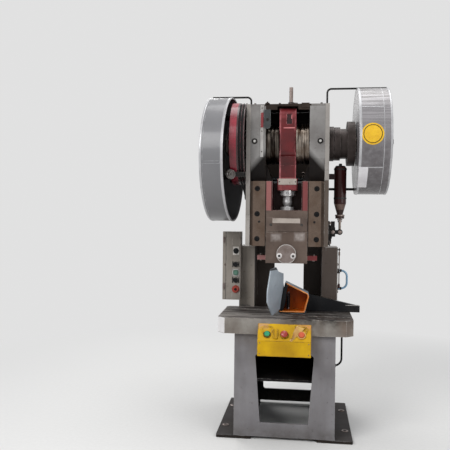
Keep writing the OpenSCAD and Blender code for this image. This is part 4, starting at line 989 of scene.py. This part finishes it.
class PRESS_OT_guard_fittings(PressOperator, bpy.types.Operator):
    """Rims, seams, screws, disc and tag of the two round guards"""
    bl_idname = "press.guard_fittings"
    bl_label = "Guard fittings"

    def execute(self, context):
        parts = Parts()
        sizes = context.scene.press_sizes
        steps = [2 * math.pi * (k + 0.5) / sizes.guard_screws for k in range(sizes.guard_screws)]
        toe = math.radians(LEFT_GUARD_TURN)
        turn = Matrix.Translation(mm(*LEFT_GUARD)) @ Matrix.Rotation(toe, 4, "Z")
        parts.lathe(MIDDLE, LEFT,
                    ((453, -5.5), (458, -5.5), (461, -2), (461, 3), (458, 7), (457.2, 12), (457, 12)),
                    GUARD_SIDES)
        parts.lathe(MIDDLE, LEFT,
                    ((457, 146), (458.2, 146), (459, 150), (459, 156), (457, 160.5), (451, 161), (449, 160)),
                    GUARD_SIDES)
        parts.bm.transform(turn)
        parts.piece("left_guard_rims", "guard bright")
        parts.drum_patch(-146, -14, LEFT_GUARD_R, MIDDLE, -8.2, -5.8, 1.4)
        parts.lathe(MIDDLE, LEFT, ((457, 136), (457.8, 136.4), (457.8, 138.6), (457, 139)), GUARD_SIDES)
        parts.bm.transform(turn)
        parts.piece("left_guard_seam", "guard grey")
        for t in steps:
            parts.socket_screw((-159.5, LEFT_SCREW_R * math.cos(t), LEFT_SCREW_R * math.sin(t)), LEFT, 7, 4)
        parts.bm.transform(turn)
        parts.piece("left_guard_screws", "worn steel")
        parts.lathe(LEFT_GUARD, LEFT, ((0, 155.8), (70, 155.8), (70, 154), (64, 150), (0, 150)), 48)
        for stud_y, stud_z, r in ((60, 2325, 34), (100, 1865, 30)):
            back = 156 + (stud_y - LEFT_GUARD[1]) * math.sin(toe)
            parts.lathe((LEFT_GUARD[0], stud_y, stud_z), LEFT,
                        ((0, back - 8), (r, back - 8), (r, back - 3), (0, back - 3)), 28)
        parts.piece("left_guard_pads", "cast iron")
        knob_z = 1853
        parts.lathe((-395, -400, knob_z), FRONT,
                    ((0, 0), (26, 0), (35, 4), (35, 14), (31, 18), (24, 18), (24, 15), (19, 15), (19, 22),
                     (15, 24), (9, 24), (9, 20), (0, 20)), 40)
        parts.piece("guard_knob", "knob grey")
        parts.block(-300.6, -294.2, -400, -250, knob_z - 17, knob_z + 17)
        parts.block(-414, -294.2, -400, -394, knob_z - 17, knob_z + 17)
        for y in (-268, -308):
            parts.bolt((-300.6, y, knob_z), LEFT, 3, 2, False)
        parts.piece("guard_knob_bracket", "black paint", bevel=1.5)
        parts.lathe((-418, -416, knob_z), (-0.5, -1, 0), ((0, 0), (8, 0), (8, 7), (6, 9), (0, 10)), 20)
        parts.piece("guard_knob_bolt", "bright steel")
        y, z = RIGHT_GUARD[1:]
        parts.lathe(RIGHT_GUARD, RIGHT,
                    ((379, 484.2), (381, 484.2), (382, 487), (382, 499), (380.6, 501), (379, 501)),
                    GUARD_SIDES)
        parts.lathe(RIGHT_GUARD, RIGHT,
                    ((379, 688), (380.6, 689), (381.4, 692), (381.4, 699), (378, 702), (372, 702),
                     (370, 700)), GUARD_SIDES)
        parts.piece("right_guard_rims", "guard bright")
        parts.lathe(RIGHT_GUARD, RIGHT, ((379, 645), (380, 645.4), (380, 648.6), (379, 649)), GUARD_SIDES)
        for a in (31.0, -34.0, 152.0):
            parts.drum_patch(502, 644, RIGHT_GUARD_R, RIGHT_GUARD, a, a + 1.0, 0.9)
        parts.piece("right_guard_seams", "guard bright")
        for t in steps:
            at = (699.6, y + RIGHT_SCREW_R * math.cos(t), z + RIGHT_SCREW_R * math.sin(t))
            parts.socket_screw(at, RIGHT, 7, 4)
        parts.piece("right_guard_screws", "worn steel")
        cap_bolt_r = 100
        for k in range(6):
            t = math.radians(30 + 60 * k)
            at = (729, y - cap_bolt_r * math.sin(t), z + cap_bolt_r * math.cos(t))
            parts.bolt(at, RIGHT, 7.5, 7)
        parts.piece("guard_cap_bolts", "worn steel")
        parts.ring((734, y, z), RIGHT, 25, 40, 4, 40)
        parts.lathe(RIGHT_GUARD, RIGHT,
                    ((128.5, 712), (131, 713), (131, 733), (127, 735.5), (118, 735.5), (116, 734)), 72)
        parts.piece("guard_cap_rim", "cast iron")
        parts.drum_patch(498, 644, RIGHT_GUARD_R + 0.2, RIGHT_GUARD, -9.7, 12.5, 0.8, disc_shape)
        parts.piece("yellow_disc", "yellow disc", smooth=60)
        loop = []
        loop_steps, loop_r = 64, RIGHT_GUARD_R + 1.4
        for k in range(loop_steps + 1):
            t = 2 * math.pi * k / loop_steps
            a = math.radians(1.4 + 9.1 * math.sin(t))
            loop.append((571 + 60 * math.cos(t), y - loop_r * math.cos(a), z + loop_r * math.sin(a)))
        parts.tube(loop, 2.2, 6)
        parts.piece("yellow_disc_ring", "black plastic")
        parts.drum_patch(487, 548, RIGHT_GUARD_R + 1, RIGHT_GUARD, -62, -33, 2.4)
        parts.piece("white_tag", "tag white", smooth=60)
        return {"FINISHED"}


class PRESS_OT_trip_fittings(PressOperator, bpy.types.Operator):
    """Bands, gland and bolts of the trip cylinder and its bracket, hose ferrules and cover ring bolts"""
    bl_idname = "press.trip_fittings"
    bl_label = "Trip gear fittings"

    def execute(self, context):
        parts = Parts()
        for z in (1900, 1690):
            parts.ring((TRIP_X, RAM_Y, z), UP, 43.8, 46.5, 10, 40, 0.8)
        parts.lathe((TRIP_X, RAM_Y, 0), UP,
                    ((36, 1921.5), (36, 1928), (30, 1931), (12, 1931), (12, 1944), (9, 1947), (0, 1947)), 32)
        parts.piece("trip_cylinder_bands", "black paint")
        parts.lathe((TRIP_X, RAM_Y, 1566), UP, ((31.8, 0), (34, 1), (34, 9), (31, 11), (22, 11)), 36)
        parts.ring((TRIP_X, RAM_Y, 1536), UP, 9.4, 19, 11, 6)
        parts.ring((TRIP_X, RAM_Y, 1522), UP, 9.4, 15, 12, 24)
        parts.piece("trip_gland", "worn steel")
        for y in (-214, -150):
            for z in (1372, 1514):
                parts.bolt((BRACKET_FACE, y, z), RIGHT, 9, 8)
        parts.bolt((330, -219, 1450), FRONT, 9, 7)
        parts.bolt((TRIP_X, -223, 1450), FRONT, 8, 6)
        parts.piece("bracket_bolts", "worn steel")
        parts.block(BRACKET_FACE, BRACKET_FACE + 6, -226, -140, 1348, 1362)
        parts.block(BRACKET_FACE, BRACKET_FACE + 16, -150, -140, 1362, 1500)
        parts.lathe((316, -206, 1400), UP, ((0, 0), (7, 0), (7, 8), (10, 10), (10, 24), (7, 26), (0, 26)), 20)
        parts.piece("bracket_stop", "black paint", bevel=1)
        for z in (999, 1139):
            parts.lathe((386, 200, z), RIGHT, ((0, -1), (17, -1), (17, 3), (15, 5), (14, 8), (0, 8)), 28)
            parts.lathe((404, 200, z), RIGHT, ((8, 0), (12, 0), (12, 12), (10, 15), (8.2, 15)), 24)
        parts.piece("hose_ferrules", "black plastic")
        cover_bolt_r = 98
        for k in range(4):
            t = math.radians(45 + 90 * k)
            at = (328, RAM_Y + cover_bolt_r * math.cos(t), CRANK_Z + cover_bolt_r * math.sin(t))
            parts.bolt(at, RIGHT, 9, 3, False)
        parts.piece("cover_ring_bolts", "black paint")
        return {"FINISHED"}


class PRESS_OT_control_fittings(PressOperator, bpy.types.Operator):
    """Door, hinges, frames and rings of the control box"""
    bl_idname = "press.control_fittings"
    bl_label = "Control box fittings"

    def execute(self, context):
        parts = Parts()
        parts.block(-476, -430, 30.2, 32.4, 916, 1430)
        parts.block(-370, -366, 30.2, 32.4, 916, 1430)
        parts.block(-432, -368, 30.2, 32.4, 1336, 1430)
        parts.block(-432, -368, 30.2, 32.4, 916, 964)
        parts.piece("box_door", "box grey", bevel=0.8)
        parts.block(-480, -477, 31.2, 32.3, 914, 1432)
        parts.lathe((KEY_X, 27.6, 1289), FRONT,
                    ((17.5, -1.4), (22, -1.4), (22, 0.8), (20, 1.6), (17.5, 1.6)), 36)
        parts.piece("door_gap", "black plastic")
        for z in (990, 1350):
            parts.lathe((-494, 27, z), UP, ((0, 0), (5, 0), (5, 22), (4, 23), (5, 24), (5, 46), (0, 46)), 16)
            parts.block(-504, -484, 29.5, 32.3, z, z + 46)
        parts.lathe((-484, 32.2, 1180), FRONT, ((0, 0), (8, 0), (8, 3), (6, 5), (2, 5), (2, 2), (0, 2)), 24)
        parts.piece("box_hinges", "worn steel")
        for z in BLACK_KEYS:
            parts.ring((KEY_X, 28.4, z), FRONT, 16, 21.5, 3.2, 36)
            parts.lathe((KEY_X, 19, z), FRONT, ((12, -1.0), (12, 0.6), (9, 1.2), (0, 1.2)), 28)
        parts.piece("black_button_rings", "black paint")
        for x in (-428, -379):
            parts.block(x, x + 7, 28.6, 32.2, 1092, 1148)
        for z in (1141, 1092):
            parts.block(-428, -372, 28.6, 32.2, z, z + 7)
        parts.piece("green_button_frame", "strip grey", bevel=0.6)
        parts.ring((KEY_X, 28.4, GREEN_KEY), FRONT, 16, 21.5, 3.4, 36)
        parts.piece("green_button_ring", "grey green")
        parts.ring((KEY_X, 28.4, RED_KEY), FRONT, 20.4, 26, 4.4, 40)
        parts.ring((KEY_X, 28.8, RED_KEY), FRONT, 27, 30, 1.2, 40, 0.4)
        parts.piece("red_button_ring", "orange red")
        parts.lathe((KEY_X, 12.2, RED_KEY), FRONT, ((0, 0), (11, 0), (11, 1), (9, 1.6), (0, 1.6)), 28)
        for z in BLACK_KEYS:
            parts.block(-428, -420, 31.3, 32.2, z - 22, z + 22)
            parts.block(-380, -372, 31.3, 32.2, z - 22, z + 22)
        parts.piece("button_marks", "black plastic", bevel=0.3)
        return {"FINISHED"}


def on_panel(x, s, up=0.0):
    """A point on the two-hand box's sloped panel, in millimetres: s up the slope, up off it."""
    y = PANEL_Y + s * math.cos(PANEL_TILT) - up * math.sin(PANEL_TILT)
    z = PANEL_Z + s * math.sin(PANEL_TILT) + up * math.cos(PANEL_TILT)
    return (x, y, z)


class PRESS_OT_hand_box_fittings(PressOperator, bpy.types.Operator):
    """Rings, shrouds, folds, screws and loose paint of the yellow two-hand box"""
    bl_idname = "press.hand_box_fittings"
    bl_label = "Two-hand box fittings"

    def execute(self, context):
        parts = Parts()
        row = PANEL_LENGTH * KEY_ROW
        parts.ring(on_panel(HAND_X, row, 5.6), PANEL_OUT, 22.4, 29, 4.5, 40)
        parts.piece("right_button_ring", "cream ring")
        parts.ring(on_panel(-HAND_X, row, 5.6), PANEL_OUT, 20.6, 25, 3.2, 40)
        parts.ring(on_panel(0, row, -0.4), PANEL_OUT, 26.4, 29.4, 2.2, 40)
        parts.piece("left_button_ring", "black plastic")
        turns = [math.radians(a) for a in range(-90, 91, 15)]
        for x in (-HAND_X, HAND_X):
            for side in (-1, 1):
                leg = [on_panel(x + side * (30 + 2 * k), row + 12 + 9 * k, 3 + 3 * k) for k in range(5)]
                parts.tube(leg, 2.6, 8)
            bow = [on_panel(x + 38 * math.sin(t), row + 48 + 10 * math.cos(t), 15) for t in turns]
            parts.tube(bow, 2.6, 8)
        parts.piece("button_shrouds", "yellow paint")
        spine = ((40, 6, 2), (54, 40, 16), (68, 72, 32), (84, 104, 28), (100, 122, 10))
        edge = ((50, 2, 1.2), (76, 30, 4.2), (104, 58, 11.2), (132, 92, 13.2), (152, 118, 3.2))
        spine, edge = ([on_panel(*p) for p in line] for line in (spine, edge))
        vert, face = parts.bm.verts.new, parts.bm.faces.new
        top = [[vert(mm(*p)) for p in line] for line in (spine, edge)]
        low = [[vert(mm(x, y + 0.8, z - 1.4)) for x, y, z in line] for line in (spine, edge)]
        for k in range(4):
            face((top[0][k], top[1][k], top[1][k + 1], top[0][k + 1]))
            face((low[0][k], low[0][k + 1], low[1][k + 1], low[1][k]))
            face((top[0][k], top[0][k + 1], low[0][k + 1], low[0][k]))
            face((top[1][k], low[1][k], low[1][k + 1], top[1][k + 1]))
        for k in (0, 4):
            face((top[0][k], low[0][k], low[1][k], top[1][k]))
        parts.piece("loose_paint", "peeled paint", smooth=20)
        fold_r = 1.8
        for x in (-BOX_SIDE, BOX_SIDE):
            parts.tube([(x, -480.5, 816), (x, BOX_FRONT, PANEL_Z), (x, BOX_FRONT, BOX_FOOT),
                        (x, -452, BOX_FOOT)], fold_r, 8)
        for y, z in ((BOX_FRONT - 0.5, PANEL_Z), (BOX_FRONT, BOX_FOOT)):
            parts.tube([(-BOX_SIDE, y, z), (BOX_SIDE, y, z)], fold_r, 8)
        parts.piece("hand_box_folds", "yellow paint")
        for x in (-166, 166):
            for z in (624, 698):
                parts.socket_screw((x, BOX_FRONT - 0.6, z), FRONT, 4, 2.4)
        for side in (-1, 1):
            for z in (640, 720):
                parts.socket_screw((side * (BOX_SIDE - 0.4), -500, z), (side, 0, 0), 5, 3)
        parts.piece("hand_box_screws", "worn steel")
        return {"FINISHED"}


class PRESS_OT_foot_switch_lining(PressOperator, bpy.types.Operator):
    """Orange lining and bead of the foot switch's hood, the trim of its pedal and arm, and a pale strip of
    painted highlight along the arm's top edge
    """
    bl_idname = "press.foot_switch_lining"
    bl_label = "Foot switch lining"

    def execute(self, context):
        parts = Parts()

        def outline(t, y):
            """The hood's opening, drawn in by t from its outside."""
            corners = ((-56 + 1.3 * t, 9 + t), (136 - 1.1 * t, 9 + t), (165 - t, 125 + 0.3 * t),
                       (158 - t, 148 - 0.6 * t), (-8 + 0.8 * t, 226 - 1.3 * t))
            return [(x, y, TABLE_TOP + z) for x, z in corners]

        loops = [[parts.bm.verts.new(mm(*p)) for p in outline(t, y)]
                 for t, y in ((7.2, -204.4), (7.2, -62.4), (9.2, -64.4), (9.2, -204.4))]
        parts.skin(loops[:2])
        parts.skin(loops[2:])
        parts.skin((loops[3], loops[0]))
        parts.bm.faces.new(loops[1])
        parts.bm.faces.new(loops[2])
        parts.piece("hood_lining", "orange lining", smooth=25)
        loop = [Vector(p) for p in outline(3.4, -205.5)]
        corner = 8
        bead = []
        for k in range(5):
            a, b, c = loop[k - 1], loop[k], loop[(k + 1) % 5]
            for w in (0.0, 0.5, 1.0):
                p = b + (a - b).normalized() * corner * (1 - w) + (c - b).normalized() * corner * w
                bead.append(p if w != 0.5 else (p + b) / 2)
        parts.tube(bead[1:13], 4.2, 8)
        parts.piece("hood_bead", "orange rim")
        parts.block(3.5, 14.5, -199, -96, TABLE_TOP + 34, TABLE_TOP + 130)
        parts.piece("pedal_tread", "black rubber", "pedal", bevel=2)
        side_trim = ((-53, 3), (-34, 5), (-20, 30), (-8, 70), (0, 120), (4, 170), (16, 212), (0, 226),
                     (-9, 226), (-57, 2))
        sill = ((-55, 1.5), (137, 1.5), (139, 10), (-49, 10))
        for shape in (side_trim, sill):
            parts.prism([(x, -207, TABLE_TOP + z) for x, z in shape], (0, 4, 0))
        parts.piece("hood_side_trim", "black plastic", bevel=1.5)
        parts.block(500, 541, -57, -13, TABLE_TOP + 1, TABLE_TOP + 50)
        parts.block(120, 500, -56.5, -52.5, TABLE_TOP + 3, TABLE_TOP + 12)
        parts.piece("arm_end", "black plastic", bevel=2)
        # A pale strip of painted highlight along the arm's top edge.
        parts.block(436, 538, -58, -54.5, TABLE_TOP + 49, TABLE_TOP + 53)
        parts.piece("arm_highlight_edge", "strip grey", bevel=0.8)
        return {"FINISHED"}


class PRESS_OT_stand_fittings(PressOperator, bpy.types.Operator):
    """Weld seams, anchor washers, collars, bolts and the conduit of the stand and column"""
    bl_idname = "press.stand_fittings"
    bl_label = "Stand and column fittings"

    def execute(self, context):
        parts = Parts()

        def weld(a, b, r=3.2):
            """A bead that wavers a little from step to step."""
            a, b = Vector(a), Vector(b)
            n = max(2, int((b - a).length / WELD_STEP))
            waver = Vector((0.6, 0.6, 0))
            parts.tube([a + (b - a) * k / n + waver * (-1) ** k for k in range(n + 1)], r, 6)

        for side in (-1, 1):
            weld((side * STAND_SIDE, -448, 21), (side * STAND_SIDE, 448, 21))
            weld((side * 340, -450, 21), (side * 200, -450, 21))
            weld((side * 340, 450, 21), (side * 200, 450, 21))
            weld((side * STAND_SIDE, -440, 739), (side * STAND_SIDE, 100, 739), 2.6)
            weld((side * 296, 148, 852), (side * 384, 148, 852), 2.6)
            weld((side * COLUMN_SIDE, 160, 744), (side * COLUMN_SIDE, 440, 744), 2.6)
        parts.piece("weld_seams", "stand grey", smooth=60)
        for side in (-1, 1):
            for y in (-ANCHOR_Y, ANCHOR_Y):
                parts.lathe((side * ANCHOR_X, y, 19.6), UP,
                            ((13.2, 0), (24, 0), (24, 3), (22, 4), (13.2, 4)), 32)
        parts.piece("anchor_washers", "worn steel")
        parts.lathe((STAND_SIDE, -200, 480), RIGHT, ((14, -0.5), (19, -0.5), (19, 4), (17, 6), (13.2, 6)), 24)
        parts.lathe((404, -200, 722), DOWN, ((7.2, 0), (11, 0), (10, 14), (7.4, 18)), 24)
        parts.piece("cable_collars", "black plastic")
        for side in (-1, 1):
            for z in (1180, 960):
                parts.bolt((side * COLUMN_SIDE, 300, z), (side, 0, 0), 11, 9)
        parts.piece("column_bolts", "worn steel")
        x, y, wire_r = 397, 163, 3.9
        parts.tube([(x, y, 1006), (x, y, 1318)], 4, 16)
        parts.lathe((x, y, 1258), UP, ((wire_r, 0), (7, 2), (7, 28), (wire_r, 30)), 24)
        parts.piece("column_conduit", "guide steel")
        for z in (1300, 1120):
            parts.block(385.7, 388.5, y - 15, y + 15, z, z + 9)
            parts.lathe((x, y, z), UP, ((wire_r, 0), (9, 0), (9, 9), (wire_r, 9)), 24)
        parts.piece("conduit_clips", "black paint", bevel=0.8)
        parts.lathe((x, y, 1003), UP, ((0, 0), (7, 0), (9, 2), (9, 30), (6, 36), (wire_r, 36)), 24)
        parts.block(385.7, 390, y - 5, y + 5, 1008, 1026)
        parts.piece("conduit_end", "maroon paint", bevel=0.8)
        return {"FINISHED"}


class PRESS_OT_motor_fittings(PressOperator, bpy.types.Operator):
    """Fan cover, terminal box, eye and feet bolts of the motor inside the column"""
    bl_idname = "press.motor_fittings"
    bl_label = "Motor fittings"

    def execute(self, context):
        parts = Parts()
        parts.lathe((230, MOTOR_Y, MOTOR_Z), RIGHT,
                    ((0, 1), (60, 1), (96, 0), (104, -6), (104, -10), (0, -10)), 48)
        for r in (30, 50, 70, 88):
            parts.lathe((230.5, MOTOR_Y, MOTOR_Z), RIGHT,
                        ((r, 0), (r + 2, 2.4), (r + 6, 2.4), (r + 8, 0)), 48)
        parts.piece("fan_cover", "cast iron")
        parts.block(-60, 50, 110, 190, 1864, 1916)
        parts.block(-64, 54, 106, 194, 1916, 1922)
        parts.piece("terminal_box", "motor paint", bevel=4)
        for x in (-52, 42):
            for y in (117, 183):
                parts.socket_screw((x, y, 1921.6), UP, 5, 4)
        parts.lathe((-5, 192, 1890), BACK,
                    ((0, 0), (15, 0), (15, 8), (12, 10), (12, 18), (8, 22), (0, 22)), 24)
        parts.piece("terminal_box_screws", "black plastic")
        parts.lathe((110, MOTOR_Y, 1864), UP, ((0, 0), (14, 0), (14, 5), (8, 8), (8, 12), (0, 12)), 24)
        parts.arc((110, MOTOR_Y, 1890), BACK, 15, 0, 360, 5, 10, 30)
        for x in (-115, 125):
            for y in (62, 238):
                parts.bolt((x, y, 1658), UP, 10, 8)
        parts.piece("motor_eye_and_bolts", "worn steel")
        return {"FINISHED"}


class PRESS_PT_panel(bpy.types.Panel):
    """Lists the press's settings and the steps that build its pieces"""
    bl_idname = "PRESS_PT_panel"
    bl_label = "Stamping press"
    bl_space_type = "VIEW_3D"
    bl_region_type = "UI"
    bl_category = "Press"

    def draw(self, context):
        for group in (context.scene.press_sizes, context.scene.press_colours):
            for key in group.__annotations__:
                self.layout.prop(group, key)
        for step in STEPS:
            self.layout.operator(step.bl_idname)


STEPS = (PRESS_OT_stage, PRESS_OT_finishes, PRESS_OT_head_fittings, PRESS_OT_rod_fittings,
         PRESS_OT_slide_fittings, PRESS_OT_guard_fittings, PRESS_OT_trip_fittings, PRESS_OT_control_fittings,
         PRESS_OT_hand_box_fittings, PRESS_OT_foot_switch_lining, PRESS_OT_stand_fittings,
         PRESS_OT_motor_fittings)
CLASSES = (PressSizes, PressColours) + STEPS + (PRESS_PT_panel,)


def register():
    for cls in CLASSES:
        bpy.utils.register_class(cls)
    bpy.types.Scene.press_sizes = PointerProperty(type=PressSizes)
    bpy.types.Scene.press_colours = PointerProperty(type=PressColours)


def unregister():
    del bpy.types.Scene.press_sizes
    del bpy.types.Scene.press_colours
    for cls in reversed(CLASSES):
        bpy.utils.unregister_class(cls)


def main():
    register()
    for step in STEPS:
        group, name = step.bl_idname.split(".")
        getattr(getattr(bpy.ops, group), name)()


if __name__ == "__main__":
    main()
